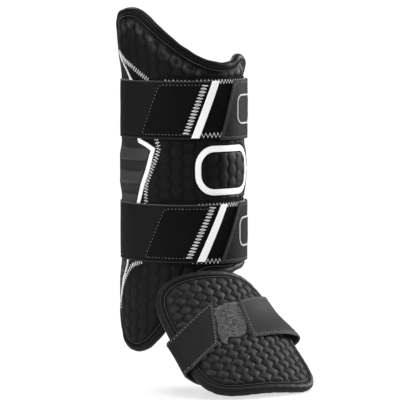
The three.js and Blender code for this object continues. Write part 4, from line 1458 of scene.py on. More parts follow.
    def flatness(self, x: Array, y: Array, loop: Array) -> Array:
        """Give how freely the quilting swells at each place, 0 where something holds it flat.

        Args:
            x: Arcs.
            y: Heights.
            loop: The shell's edge.

        Returns:
            A share from 0 to 1.
        """
        oval = self.oval
        above = smooth((y - oval.strap_levels[0]) / (30.0 * MM))
        ease = mix(self.edge_ease[0], self.edge_ease[1], above)
        free = smooth((distance_to(loop, x, y) - self.binding.width) / ease)
        half = oval.strap_width / 2.0
        for level, below in zip(oval.strap_levels, self.patch_drops):
            low, high = level - half - below, level + half + oval.patch_overlap
            beyond_x = np.maximum(x - self.patch_turns[1] * oval.per_degree, 0.0)
            beyond_y = np.maximum(np.maximum(low - y, y - high), 0.0)
            free = free * smooth((np.hypot(beyond_x, beyond_y) - 0.4 * MM) / (2.6 * MM))
            under = smooth((half + 4.0 * MM - np.abs(y - level)) / (6.0 * MM))
            free = free * (1.0 - 0.35 * under)
        ring = rounded_box((0.0, self.badge_level), self.badge_size, self.badge_corner, MM)
        gap = distance_to(ring, x, y) - self.badge_line / 2.0
        free = free * smooth((gap - 0.3 * MM) / (2.4 * MM))
        seam = self.laid_out(self.zigzag_line, MM)[::-1]
        front = np.interp(y, seam[:, 1], seam[:, 0], left=1.0, right=1.0)
        near = distance_to(seam, x, y)
        behind = (x > front) & (y > seam[0, 1]) & (y < seam[-1, 1])
        return np.where(behind, 0.0, free * smooth((near - 1.6 * MM) / (2.4 * MM)))

    def build_quilt(self, loop: Array) -> None:
        """Build the quilted shell inside its binding.

        Args:
            loop: The shell's edge.
        """
        inset = beside(loop, True, self.binding.width / 2.0)
        x, y = inner_grid(inset, 0.3 * MM, self.grid_step, self.grid_step * 1.08)
        free = self.flatness(x, y, loop)
        edge = distance_to(loop, x, y)
        dome, seam = self.quilting.cells(x, y)
        calm = smooth((x / self.oval.per_degree + 28.0) / 40.0) * smooth((edge - 24.0 * MM) / (22.0 * MM))
        depth = self.quilting.depth * (1.0 + 0.2 * ripple(x, y, 0.07)) * (1.0 - 0.45 * calm)
        out = self.quilting.floor + depth * dome * free + 0.25 * MM * ripple(x, y, 0.09) * free
        dip = hump(edge, self.binding.width, 1.2 * MM)
        front = self.oval.place(x, y, out - 0.5 * MM * dip)
        back = self.oval.place(x, y, -self.binding.wall + 0.2 * MM * ripple(x, y, 0.05))
        # Painted highlights: the cell crests are painted a little paler, and much paler in uneven patches in
        # a band below the top binding, where the cells would catch the top light. The seam mark paints shade
        # into the seams, creases and the groove beside the binding.
        patches = clamp01(0.45 + 0.8 * ripple(x, y, 0.017))
        lit = patches * hump(edge, 17.0 * MM, 7.0 * MM) * smooth((y - self.lit_level) / 0.012)
        marks = {"seam": np.maximum(seam * free, dip), "wear_and_highlight": dome * free * (0.04 + 0.8 * lit)}
        model = slab_of(front, back, np.stack([x, y], -1), marks)
        model.to_piece("shin_quilt", "quilt", [Finishes.quilt, Finishes.lining], "shin_shell", fill=0.7)

    def build(self) -> None:
        """Build the shell and everything that is sewn to it."""
        loop = self.edge_loop()
        self.build_quilt(loop)
        self.binding.roll_round("shin_rolled_binding", self.oval, loop, "shin_binding")
        self.build_panel()
        self.build_piping()
        self.build_badge()
        self.build_patches()
        self.build_stitches(loop)

    def build_panel(self) -> None:
        """Build the moulded side panel with plain level ribs."""
        path = self.laid_out(self.piping_line, MM)
        front = beside(path, False, self.piping_width / 2.0 + 0.3 * MM)[::-1]
        rear = self.outer_turn * self.oval.per_degree - self.binding.width - 1.0 * MM
        front = front[front[:, 0] < rear - self.piping_width / 2.0]
        low, high = front[0, 1] + 1.5 * MM, front[-1, 1] - 1.5 * MM
        levels = low + stations(high - low, 1.1 * MM, self.panel_rim)
        start = np.interp(levels, front[:, 1], front[:, 0])
        share = stations(1.0, 1.0 / 44.0, 0.03)[None, :]
        x = mix(start[:, None], rear, share)
        y = np.broadcast_to(levels[:, None], x.shape)
        turn = 2.0 * math.pi / self.panel_rib_pitch
        crest = np.cos(turn * (y - 0.25 * self.panel_rib_pitch))
        rib = smooth(0.5 + 1.6 * crest)
        inset = smooth((x - start[:, None]) / (5.0 * MM)) * smooth((rear - x) / (5.0 * MM))
        top = self.lay_low + self.panel_rim + self.panel_rim * rib * inset
        model = cloth_slab(self.oval, x, y, np.full(x.shape, self.lay_low), top, rim=0.5 * MM)
        # Painted highlight on the rib crests and painted shade in the troughs between the ribs.
        model.mark("wear_and_highlight", rib * inset)
        model.mark("seam", hump(crest, -0.31, 0.16) * inset)
        model.to_piece("moulded_side_panel", "panel", [Finishes.panel], "side_panel")

    def build_piping(self) -> None:
        """Build the white piping in front of the panel."""
        path = self.laid_out(self.piping_line, 1.5 * MM)
        section = line_section(self.piping_width, self.lay_low, self.lay_top + 0.2 * MM, rim=0.6 * MM)
        upper, lower = self.oval.strap_levels
        beyond = np.maximum(path[:, 1] - upper - 0.03, lower - 0.03 - path[:, 1])
        taper = smooth(beyond / (8.0 * MM))
        piping = sweep(self.oval, path, False, section, None, 1.0 - 0.68 * taper, 0.75 * taper)
        piping.to_piece("white_piping", "white_trim", [Finishes.white], "side_piping")

    def build_badge(self) -> None:
        """Build the plain rounded line on the front."""
        path = rounded_box((0.0, self.badge_level), self.badge_size, self.badge_corner, 1.5 * MM)
        section = line_section(self.badge_line, self.lay_low, self.lay_top, rim=0.7 * MM)
        badge = sweep(self.oval, path, True, section)
        badge.to_piece("front_line", "white_trim", [Finishes.white], "front_badge_frame")

    def build_patches(self) -> None:
        """Build the loop patches that the tabs grip."""
        oval = self.oval
        inner = beside(self.edge_loop(), True, self.binding.width + 0.5 * MM)
        half = oval.strap_width / 2.0
        start, finish = (turn * oval.per_degree for turn in self.patch_turns)
        for prefix, level, below in zip(("upper", "lower"), oval.strap_levels, self.patch_drops):
            places = start + stations(finish - start, 1.8 * MM, 0.8 * MM)
            least, most = crossings(inner, places)
            low = np.maximum(level - half - below, least + 0.6 * MM)
            high = np.minimum(level + half + oval.patch_overlap, most - 0.6 * MM)
            share = stations(1.0, 1.0 / 38.0, 0.012)[:, None]
            y = mix(low[None, :], high[None, :], share)
            x = np.broadcast_to(places[None, :], y.shape)
            field_low, field_high = low[None, :] + 10.0 * MM, high[None, :] - 6.0 * MM
            within = smooth((y - field_low) / (1.2 * MM)) * smooth((field_high - y) / (1.2 * MM))
            top = self.lay_top - 0.7 * MM + 0.7 * MM * within + 0.1 * MM * ripple(x, y, 0.004) * within
            model = cloth_slab(oval, x, y, np.full(x.shape, self.lay_low), top, rim=0.5 * MM)
            made = model.to_piece(f"{prefix}_grip_patch", "loop_fabric", [Finishes.loop],
                                  f"{prefix}_loop_patch")
            declare_sheet(made, model)

    def build_stitches(self, loop: Array) -> None:
        """Sew the zigzags of the patches and the panel, and the row inside the binding.

        Args:
            loop: The shell's edge.
        """
        oval, per = self.oval, self.oval.per_degree
        seam = self.laid_out(self.zigzag_line, MM)
        bold = zigzag(oval, seam, out=-1.0 * MM, pitch=3.5 * MM, reach=2.6 * MM, lag=0.12)
        thin = []
        half, out = oval.strap_width / 2.0, self.lay_top + 0.15 * MM
        for level, tips in zip(oval.strap_levels, self.upper_rows):
            line = np.array([(turn * per, level + half - drop * MM) for turn, drop in tips])
            thin.append(zigzag(oval, finer(line, False, MM), out, pitch=4.6 * MM, reach=2.4 * MM))
        for level, tips in zip(oval.strap_levels, self.lower_rows):
            line = np.array([(turn * per, level - half + rise * MM) for turn, rise in tips])
            thin.append(zigzag(oval, finer(line, False, MM), out, pitch=5.2 * MM, reach=2.8 * MM))
        sew, thread = self.stitching.make, Finishes.white_thread
        sew("shell_zigzags", "white_trim", [bold], thread, radius=0.46 * MM, bow=0.5 * MM, thin_return=0.35)
        sew("patch_zigzags", "white_trim", thin, thread, radius=0.3 * MM, bow=0.4 * MM, thin_return=0.8)
        self.binding.sew("shell_binding_stitches", oval, loop, self.stitching)


# Leg straps

@dataclass
class LegStrap:
    """A wide elastic strap round the leg, with its white ribbon and its stitched grip tab."""

    prefix: str
    oval: LegOval
    stitching: Stitching
    level: float
    ribbon_top: float
    ribbon_bottom: float
    tab_top: float
    tab_bottom: float
    frame_turn: float
    box_line: tuple[tuple[float, float], ...]
    zigzag_ends: tuple[tuple[float, float], tuple[float, float]]
    lift: float = 0.0006
    thickness: float = 0.0015
    ribbon_width: float = 0.0094
    ribbon_thickness: float = 0.001
    ribbon_cut: float = 0.0013
    hem_height: float = 0.25 * MM
    hem_inset: float = 1.3 * MM
    groove_depth: float = 0.4 * MM
    groove_inset: float = 2.4 * MM
    tab_thickness: float = 0.0015
    tab_overhang: float = 0.003
    tab_rim: float = 0.0012
    tab_inset: float = 0.0032
    tab_end_turn: float = -66.0
    ease_turn: float = 12.0
    frame_size: tuple[float, float] = (0.036, 0.032)
    frame_corner: float = 0.009
    frame_line: float = 0.002
    gap: float = 0.0003

    @property
    def low(self) -> float:
        """Lower edge of the strap."""
        return self.level - self.oval.strap_width / 2.0

    @property
    def high(self) -> float:
        """Upper edge of the strap."""
        return self.level + self.oval.strap_width / 2.0

    @property
    def strap_top(self) -> float:
        """Distance outwards of the strap's face."""
        return self.lift + self.thickness

    def band(self, low: float, high: float, start: tuple[float, float], end: tuple[float, float],
             step: float) -> tuple[Array, Array]:
        """Lay out a band whose ends slant.

        Args:
            low: Its lower edge.
            high: Its upper edge.
            start: Turn of its first end, at the top and at the bottom.
            end: Turn of its last end, at the top and at the bottom.
            step: Longest step along it.

        Returns:
            Grids of arcs and heights.
        """
        per = self.oval.per_degree
        knots = [np.array(start)]
        if max(start) + self.ease_turn < min(end) - self.ease_turn:
            knots += [np.full(2, max(start) + self.ease_turn), np.full(2, min(end) - self.ease_turn)]
        knots.append(np.array(end))
        knots_at = np.array(knots) * per
        mean = knots_at.mean(axis=1) - knots_at.mean(axis=1)[0]
        at = stations(float(mean[-1]), step, 0.8 * MM)
        top, bottom = np.interp(at, mean, knots_at[:, 0]), np.interp(at, mean, knots_at[:, 1])
        rows = stations(high - low, 1.9 * MM, 0.8 * MM)[:, None]
        share = rows / (high - low)
        x = mix(bottom[None, :], top[None, :], share)
        return x, np.broadcast_to(low + rows, x.shape)

    def build(self) -> None:
        """Build the strap and what is sewn to it."""
        strap, model = self.build_strap()
        sewn = [self.build_ribbon()]
        self.build_tab()
        self.build_stitches()
        declare_sheet(strap, model)

    def build_strap(self) -> tuple[bpy.types.Object, Model]:
        """Build the elastic strap, one loop round the leg.

        Returns:
            The piece and its points.
        """
        shift = 360.0 - self.tab_overhang / self.oval.per_degree
        x, y = self.band(self.low, self.high, (self.ribbon_top, self.ribbon_bottom),
                         (self.tab_top + shift, self.tab_bottom + shift), 2.2 * MM)
        edge = np.minimum(y - self.low, self.high - y)
        hem = self.hem_height * hump(edge, self.hem_inset, 0.9 * MM)
        groove = -self.groove_depth * hump(edge, self.groove_inset, 0.6 * MM)
        wave = 0.18 * MM * ripple(x, y, 0.05)
        top = self.strap_top + hem + groove + wave
        model = cloth_slab(self.oval, x, y, self.lift + 0.5 * wave, top, rim=0.7 * MM)
        # Painted shade in the groove inside each edge.
        model.mark("seam", hump(edge, self.groove_inset, 0.7 * MM))
        per = self.oval.per_degree
        box = np.array(self.box_line)[1:4]
        turns = np.interp(y, box[::-1, 1], box[::-1, 0])
        single = smooth((x / per - turns) / 1.5) * smooth((330.0 - x / per) / 20.0)
        # Painted highlight along both edges, stronger along the top edge; beyond the stitched box the strap
        # is slightly paler.
        top_rim = np.exp(-(self.high - y) / (0.9 * MM))
        low_rim = np.exp(-(y - self.low) / (0.7 * MM))
        model.mark("wear_and_highlight", clamp01(0.05 * single + 0.9 * top_rim + 0.5 * low_rim))
        strap = self.prefix + "_strap"
        return model.to_piece(f"{self.prefix}_elastic", "elastic", [Finishes.elastic], strap), model

    def build_ribbon(self) -> bpy.types.Object:
        """Build the slanted white ribbon over the strap's front end.

        Returns:
            The finished piece.
        """
        wide = self.ribbon_width / self.oval.per_degree
        cut = self.ribbon_cut / (self.high - self.low)
        foot = self.ribbon_bottom + cut * (self.ribbon_top - self.ribbon_bottom)
        x, y = self.band(self.low + self.ribbon_cut, self.high, (self.ribbon_top, foot),
                         (self.ribbon_top + wide, foot + wide), 1.2 * MM)
        low = np.full(x.shape, self.strap_top + self.gap)
        model = cloth_slab(self.oval, x, y, low, low + self.ribbon_thickness, rim=0.5 * MM)
        name, node = f"{self.prefix}_white_ribbon", f"{self.prefix}_ribbon"
        return model.to_piece(name, "white_trim", [Finishes.white], node)

    def build_tab(self) -> None:
        """Build the grip tab with its plain raised line."""
        low, high = self.low - self.tab_rim, self.high + self.tab_rim
        x, y = self.band(low, high, (self.tab_end_turn, self.tab_end_turn),
                         (self.tab_top, self.tab_bottom), 1.8 * MM)
        floor = self.strap_top + self.gap
        end = x[:, -1:] - x
        lifted = 0.5 * MM * smooth(1.0 - end / (7.0 * MM))
        edge = np.minimum(np.minimum(y - low, high - y), end)
        channel = 0.25 * MM * hump(edge, self.tab_inset, 0.7 * MM)
        top = floor + self.tab_thickness - channel + lifted + 0.1 * MM * ripple(x, y, 0.03)
        model = cloth_slab(self.oval, x, y, floor + lifted, top, rim=0.6 * MM)
        made = model.to_piece(f"{self.prefix}_grip_tab", "tab", [Finishes.tab], f"{self.prefix}_tab")
        declare_sheet(made, model)
        centre = (self.frame_turn * self.oval.per_degree, self.level)
        path = rounded_box(centre, self.frame_size, self.frame_corner, MM)
        line_low = floor + self.tab_thickness + 0.2 * MM
        section = line_section(self.frame_line, line_low - 0.3 * MM, line_low + 0.5 * MM, rim=0.4 * MM)
        line = sweep(self.oval, path, True, section)
        name, node = f"{self.prefix}_tab_line", f"{self.prefix}_tab_frame"
        line.to_piece(name, "grey_line", [Finishes.frame_line], node)

    def build_stitches(self) -> None:
        """Sew the bold zigzag beside the ribbon, the stitched box and the rows of the tab."""
        oval, per = self.oval, self.oval.per_degree
        ends = np.array([(turn * per, level) for turn, level in self.zigzag_ends])
        bold = zigzag(oval, finer(ends, False, MM), self.strap_top + 0.15 * MM, pitch=3.9 * MM,
                      reach=3.6 * MM, level=True, lag=0.1)
        sew, name = self.stitching.make, f"{self.prefix}_strap_zigzag"
        sew(name, "white_trim", [bold], Finishes.white_thread, radius=0.54 * MM, bow=0.6 * MM,
            thin_return=0.4)
        box = finer(np.array([(turn * per, level) for turn, level in self.box_line]), False, MM)
        rows = [dotted(oval, box, self.strap_top + 0.05 * MM, pitch=4.1 * MM, share=0.42)]
        low = self.low - self.tab_rim + self.tab_inset
        high = self.high + self.tab_rim - self.tab_inset
        slant = (self.tab_bottom - self.tab_top) * per / (self.high - self.low)
        front = self.tab_bottom * per - self.tab_inset * math.hypot(1.0, slant)
        front_low, front_high = front - slant * (low - self.low), front - slant * (high - self.low)
        rear = (self.tab_end_turn + 3.0) * per
        line = np.array([(rear, low), (front_low, low), (front_high, high), (rear, high), (rear, low)])
        tab_top = self.strap_top + self.gap + self.tab_thickness - 0.1 * MM
        rows.append(dotted(oval, finer(line, False, MM), tab_top, pitch=2.9 * MM, share=0.5))
        sew(f"{self.prefix}_strap_stitches", "grey_line", rows, Finishes.grey_thread, radius=0.3 * MM,
            bow=0.4 * MM)


# Foot pad

STRAP_SHARES = stations(1.0, 1.0 / 20.0, 0.018)


@dataclass
class FootPad:
    """The quilted pad over the instep, with its binding, loop pad, strap and ankle link."""

    arch: FootArch
    oval: LegOval
    shell: ShinShell
    stitching: Stitching
    fuzz: Fuzz
    squareness: float = 4.0
    skew: float = 0.0035
    grid_step: float = 0.0012
    binding: RolledBinding = RolledBinding(Finishes.foot_binding_painted_paler, unevenness=0.2 * MM)
    quilting: Quilting = Quilting(
        spacing=0.0122, period=0.012, wave=0.0026, depth=0.003, crease=0.62, fullness=2.6,
    )
    felt_corners: tuple[tuple[float, float], ...] = (
        (-0.022, 0.0458), (-0.009, 0.0482), (0.004, 0.0512), (0.0165, 0.054), (0.0185, 0.06),
        (0.02, 0.0732), (0.0255, 0.085), (0.0285, 0.0985), (0.027, 0.105), (0.0225, 0.104),
        (0.0205, 0.097), (0.0158, 0.0954), (0.008, 0.0975), (-0.0005, 0.0965), (-0.0054, 0.0934),
        (-0.0105, 0.088), (-0.0145, 0.079), (-0.0225, 0.071),
    )
    felt_grid: tuple[int, int] = (100, 90)
    felt_step: float = 0.6 * MM
    fibre_density: float = 1.3e6
    fibre_length: float = 0.003
    strap_lift: float = 0.0006
    strap_thickness: float = 0.002
    strap_drop: float = 0.054
    strap_proud: tuple[float, float] = (0.0055, 0.0016)
    strap_turn: float = 125.0
    row_shares: tuple[float, float] = (0.055, 0.945)
    row_inset: float = 0.0034
    row_pitch: float = 0.0041
    link_gap: float = 0.0008
    link_thickness: float = 0.0024

    # Strap corners, as arc to the outer side of the ridge and length from the pad's top edge.
    outer_end: tuple[tuple[float, float], tuple[float, float]] = ((0.0146, 0.0454), (0.0362, 0.104))
    inner_end: tuple[tuple[float, float], tuple[float, float]] = ((-0.0197, 0.0471), (-0.0113, 0.1011))
    outer_rim: tuple[tuple[float, float], tuple[float, float]] = ((0.080, 0.080), (0.078, 0.127))
    inner_rim: tuple[tuple[float, float], tuple[float, float]] = ((-0.0755, 0.031), (-0.085, 0.093))

    def edge_loop(self) -> Array:
        """Draw the pad's edge.

        Returns:
            Points in the flat, anticlockwise.
        """
        angles = np.linspace(0.0, 2.0 * math.pi, 721)[:-1]
        across = power(np.cos(angles), 2.0 / self.squareness)
        toeward = (1.0 + power(np.sin(angles), 2.0 / self.squareness)) / 2.0
        along = toeward * self.arch.length - self.skew * across * toeward
        raw = np.stack([across * self.arch.half_width, along], -1)
        run = np.linalg.norm(np.diff(np.vstack([raw, raw[:1]]), axis=0), axis=-1)
        run = np.concatenate([[0.0], run.cumsum()])
        at = np.linspace(0.0, run[-1], 361)[:-1]
        closed = np.vstack([raw, raw[:1]])
        return np.stack([np.interp(at, run, closed[:, i]) for i in range(2)], -1)

    def build(self) -> None:
        """Build the foot pad and everything on it."""
        loop = self.edge_loop()
        self.build_quilt(loop)
        self.binding.roll_round("foot_rolled_binding", self.arch, loop, "foot_binding")
        self.binding.sew("foot_binding_stitches", self.arch, loop, self.stitching)
        self.build_loop_pad()
        self.build_strap()
        self.build_link()

    def build_quilt(self, loop: Array) -> None:
        """Build the quilted pad inside its binding.

        Args:
            loop: The pad's edge.
        """
        inset = beside(loop, True, self.binding.width / 2.0)
        x, y = inner_grid(inset, 0.2 * MM, self.grid_step, self.grid_step)
        edge = distance_to(loop, x, y)
        free = smooth((edge - self.binding.width - 0.2 * MM) / (3.0 * MM))
        felt = self.felt_loop()
        start, end = float(felt[:, 0].min()), float(felt[:, 0].max())
        top, bottom = crossings(felt, np.clip(x[0], start + 0.5 * MM, end - 0.5 * MM))
        covered = (x > start) & (x < end) & (y > top) & (y < bottom)
        beyond_felt = smooth((distance_to(felt, x, y) - 0.5 * MM) / (2.2 * MM))
        free = free * np.where(covered, 0.0, beyond_felt)
        dome, seam = self.quilting.cells(x, y)
        depth = self.quilting.depth * (1.0 + 0.15 * ripple(x, y, 0.05))
        out = self.quilting.floor + depth * dome * free
        dip = hump(edge, self.binding.width, 1.1 * MM)
        front = self.arch.place(x, y, out - 0.5 * MM * dip)
        back = self.arch.place(x, y, np.full(x.shape, -self.binding.wall))
        # Painted highlights: the cell crests are painted paler in uneven patches; the seam mark paints shade
        # into the seams, creases and the groove beside the binding.
        patches = clamp01(0.5 + 0.75 * ripple(x, y, 0.021))
        marks = {"seam": np.maximum(seam * free, dip), "wear_and_highlight": dome * free * patches}
        model = slab_of(front, back, np.stack([x, y], -1), marks)
        finishes = [Finishes.foot_quilt, Finishes.lining]
        model.to_piece("foot_quilt", "foot_quilt", finishes, "foot_pad", fill=0.75)

    def felt_loop(self) -> Array:
        """Draw the loop pad's outline in the flat."""
        return finer(rounded_loop(self.felt_corners), True, self.felt_step)

    def build_loop_pad(self) -> None:
        """Build the fuzzy loop pad between the strap's ends."""
        loop = self.felt_loop()
        turns = 2.0 * math.pi * np.arange(len(loop)) / len(loop)
        jag = 0.3 * np.sin(23.0 * turns) + 0.25 * np.sin(41.0 * turns + 2.0)
        jag += 0.2 * np.sin(67.0 * turns + 1.0)
        loop = beside(loop, True, jag[:, None] * MM)
        first, last = float(loop[:, 0].min()), float(loop[:, 0].max())
        places = np.linspace(first + 0.5 * MM, last - 0.5 * MM, self.felt_grid[1])
        low, high = crossings(loop, places)
        x = np.broadcast_to(places[None, :], self.felt_grid)
        y = mix(low[None, :], high[None, :], np.linspace(0.0, 1.0, self.felt_grid[0])[:, None])
        relief = 0.22 * ripple(x, y, 0.0032) + 0.2 * ripple(y, x, 0.0075) + 0.12 * ripple(x + y, y, 0.0019)
        under = np.full(x.shape, -1.3 * MM)
        model = cloth_slab(self.arch, x, y, under, (0.12 + relief) * MM, rim=0.8 * MM)
        # Painted shade: the low places of the rough felt are painted darker.
        model.mark("seam", clamp01(0.45 - 2.2 * relief))
        made = model.to_piece("foot_felt", "felt", [Finishes.felt], "foot_loop_pad")
        declare_sheet(made, model)
        bed = grid_faces(np.arange(x.size).reshape(x.shape))
        centre = np.array([model.flat[list(face)].mean(axis=0) for face in bed])
        inner, outer = np.array(self.inner_end), np.array(self.outer_end)
        least = np.interp(centre[:, 1], inner[:, 1], inner[:, 0]) + 1.2 * MM
        most = np.interp(centre[:, 1], outer[:, 1], outer[:, 0]) - 1.2 * MM
        shown = [face for face, at, a, b in zip(bed, centre[:, 0], least, most) if a < at < b]
        points = model.points[:model.back_from]
        a, b, c = (points[shown[0][i]] for i in range(3))
        if float(np.dot(np.cross(b - a, c - a), self.arch.outwards(*centre[0]))) < 0.0:
            shown = [tuple(reversed(face)) for face in shown]
        self.fuzz.make("felt_fibres", "felt", points, shown, Finishes.felt_fibre, self.fibre_density,
                       self.fibre_length)

    def strap_grid(self) -> tuple[Array, Array]:
        """Lay out the strap's middle surface: over the pad, round its edge and below the foot.

        Returns:
            A grid of points and the distance of each row from the strap's first end.
        """
        lift = self.strap_lift + self.strap_thickness / 2.0
        radius = lift + self.binding.wall / 2.0
        shares = STRAP_SHARES
        arch = self.arch

        def half(side: float, stands: float, end: Sequence, rim: Sequence) -> Array:
            """Lay one half over the pad and round its edge.

            Args:
                side: 1 for the outer half, -1 for the inner half.
                stands: How far it stands off the pad near the rim, at its toe edge.
                end: Corners of its end in the flat.
                rim: Where it leaves the pad, in the flat.

            Returns:
                A grid of points from its end outwards.
            """
            starts = mix(np.array(end[0])[None, :], np.array(end[1])[None, :], shares[:, None])
            rims = mix(np.array(rim[0])[None, :], np.array(rim[1])[None, :], shares[:, None])
            run = np.concatenate([[0.0, 0.006, 0.014], np.linspace(0.03, 1.0, 34)])
            flat = mix(starts[None, :, :], rims[None, :, :], run[:, None, None])
            proud = stands * smooth((shares - 0.3) / 0.7)[None, :] * smooth(run / 0.9)[:, None]
            over = arch.place(flat[..., 0], flat[..., 1], lift + proud)
            angles = np.radians(90.0 - self.strap_turn * np.arange(1, 15) / 14.0)[:, None]
            across = rims[None, :, 0] + side * (radius + proud[-1:, :]) * np.cos(angles)
            along = np.broadcast_to(rims[None, :, 1], across.shape)
            out = (radius + proud[-1:, :]) * np.sin(angles) - self.binding.wall / 2.0
            return np.concatenate([over, arch.place(across, along, out)])

        outer = half(1.0, self.strap_proud[1], self.outer_end, self.outer_rim)
        inner = half(-1.0, self.strap_proud[0], self.inner_end, self.inner_rim)[::-1]
        levels = [mix(rim[0][1], rim[1][1], shares) for rim in (self.outer_rim, self.inner_rim)]
        level = (levels[0] + levels[1]) / 2.0
        base, crown, _ = arch.ridge(level)
        lowest = base - crown * self.strap_drop
        reach = arch.half_width / 2.0
        first, last = outer[-1], inner[0]
        pull_first = first + unit(first - outer[-2]) * reach
        pull_last = last + unit(last - inner[1]) * reach
        flat_way = unit(last - first) * reach

        def bezier(points: Sequence[Array], t: Array) -> Array:
            """Bend from the first row of points to the last.

            Args:
                points: Four rows of points: both ends and the two that pull the curve.
                t: Shares of the way.

            Returns:
                One row of points for each share.
            """
            a, b, c, d = (p[None, :, :] for p in points)
            t = t[:, None, None]
            return a * (1 - t) ** 3 + 3 * b * t * (1 - t) ** 2 + 3 * c * t * t * (1 - t) + d * t**3

        steps = np.linspace(0.0, 1.0, 28)
        under = np.concatenate([
            bezier((first, pull_first, lowest - flat_way, lowest), steps)[1:],
            bezier((lowest, lowest + flat_way, pull_last, last), steps)[1:-1],
        ])
        grid = np.concatenate([outer, under, inner])
        middle = grid[:, len(shares) // 2]
        run = np.linalg.norm(np.diff(middle, axis=0, prepend=middle[:1]), axis=-1).cumsum()
        return grid, run

    def build_strap(self) -> None:
        """Build the foot strap with its stitched edges."""
        grid, run = self.strap_grid()
        model = cloth_of(grid, self.strap_thickness, rim=0.7 * MM)
        made = model.to_piece("foot_webbing_strap", "webbing", [Finishes.webbing], "foot_strap")
        declare_sheet(made, model)
        seam = SheetSeam(grid, run, self.strap_thickness / 2.0 + 0.05 * MM, self.row_pitch)
        ends = (self.row_inset, float(run[-1]) - self.row_inset)
        rows = [seam.along(share, ends) for share in self.row_shares]
        rows += [seam.across(at, self.row_shares) for at in ends]
        thread = Finishes.grey_thread
        self.stitching.make("foot_strap_stitches", "grey_line", rows, thread, radius=0.42 * MM, bow=0.4 * MM)

    def build_link(self) -> None:
        """Build the hidden tongue that carries the foot pad."""
        half, oval, arch = self.link_thickness / 2.0, self.oval, self.arch
        inside = -self.binding.wall - self.link_gap - half
        lines = []
        for share in np.linspace(-1.0, 1.0, 17):
            turn, across = 15.0 + share * 15.0, -0.016 + share * 0.019
            arc = turn * oval.per_degree
            floor = float(oval.level(self.shell.bottom_edge.read(np.array([turn])))[0])
            points = np.array([
                oval.place(arc, floor + 0.024, inside), oval.place(arc, floor + 0.008, inside),
                oval.place(arc, floor - half - 0.0005, inside + 0.001),
                oval.place(arc, floor - self.link_thickness - 0.004, -self.binding.wall / 3.0),
                arch.place(across, 0.006, inside - 0.002), arch.place(across, 0.018, inside),
                arch.place(across, 0.036, inside),
            ])
            lines.append(through(points, 40))
        model = cloth_of(np.stack(lines, 1), self.link_thickness, rim=0.8 * MM)
        made = model.to_piece("ankle_tongue", "binding", [Finishes.binding], "ankle_link")
        declare_sheet(made, model)


def through(points: Array, count: int) -> Array:
    """Draw a smooth curve through a few points.

    Args:
        points: The points.
        count: Number of points wanted.

    Returns:
        Points on the curve.
    """
    run = np.sqrt(np.linalg.norm(np.diff(points, axis=0), axis=-1))
    knots = np.concatenate([[0.0], run.cumsum()])
    slopes = np.gradient(points, knots, axis=0)
    at = np.linspace(0.0, knots[-1], count)
    row = np.clip(np.searchsorted(knots, at) - 1, 0, len(knots) - 2)
    length = (knots[row + 1] - knots[row])[:, None]
    t = ((at - knots[row]) / (knots[row + 1] - knots[row]))[:, None]
    ease = t * t * (3.0 - 2.0 * t)
    bend = slopes[row] * t * (1.0 - t) ** 2 + slopes[row + 1] * t * t * (t - 1.0)
    return mix(points[row], points[row + 1], ease) + bend * length


def sheet_normals(grid: Array) -> Array:
    """Give the outward directions of a sheet whose first rows face up.

    Args:
        grid: The sheet's middle surface.

    Returns:
        One direction for each point.
    """
    normal = unit(np.cross(np.gradient(grid, axis=1), np.gradient(grid, axis=0)))
    return normal if float(normal[:4, :, 2].sum()) > 0.0 else -normal


def cloth_of(grid: Array, thickness: float, rim: float) -> Model:
    """Give an even thickness to a sheet, with rounded rims.

    Args:
        grid: The sheet's middle surface.
        thickness: Its thickness.
        rim: Width of the rounded rim.

    Returns:
        The closed sheet.
    """
    normal = sheet_normals(grid)
    across = np.linalg.norm(np.diff(grid, axis=1, prepend=grid[:, :1]), axis=-1).cumsum(axis=1)
    along = np.linalg.norm(np.diff(grid, axis=0, prepend=grid[:1]), axis=-1).cumsum(axis=0)
    edge = np.minimum(np.minimum(across, across[:, -1:] - across), np.minimum(along, along[-1:] - along))
    half = thickness / 2.0 * (1.0 - 0.9 * np.minimum(rim_fall(edge, rim) / rim, 1.0))
    front = grid + normal * half[..., None]
    back = grid - normal * half[..., None]
    marks = {"wear_and_highlight": np.exp(-edge / (1.5 * rim)), "seam": np.zeros(edge.shape)}
    return slab_of(front, back, np.stack([along, across], -1), marks)


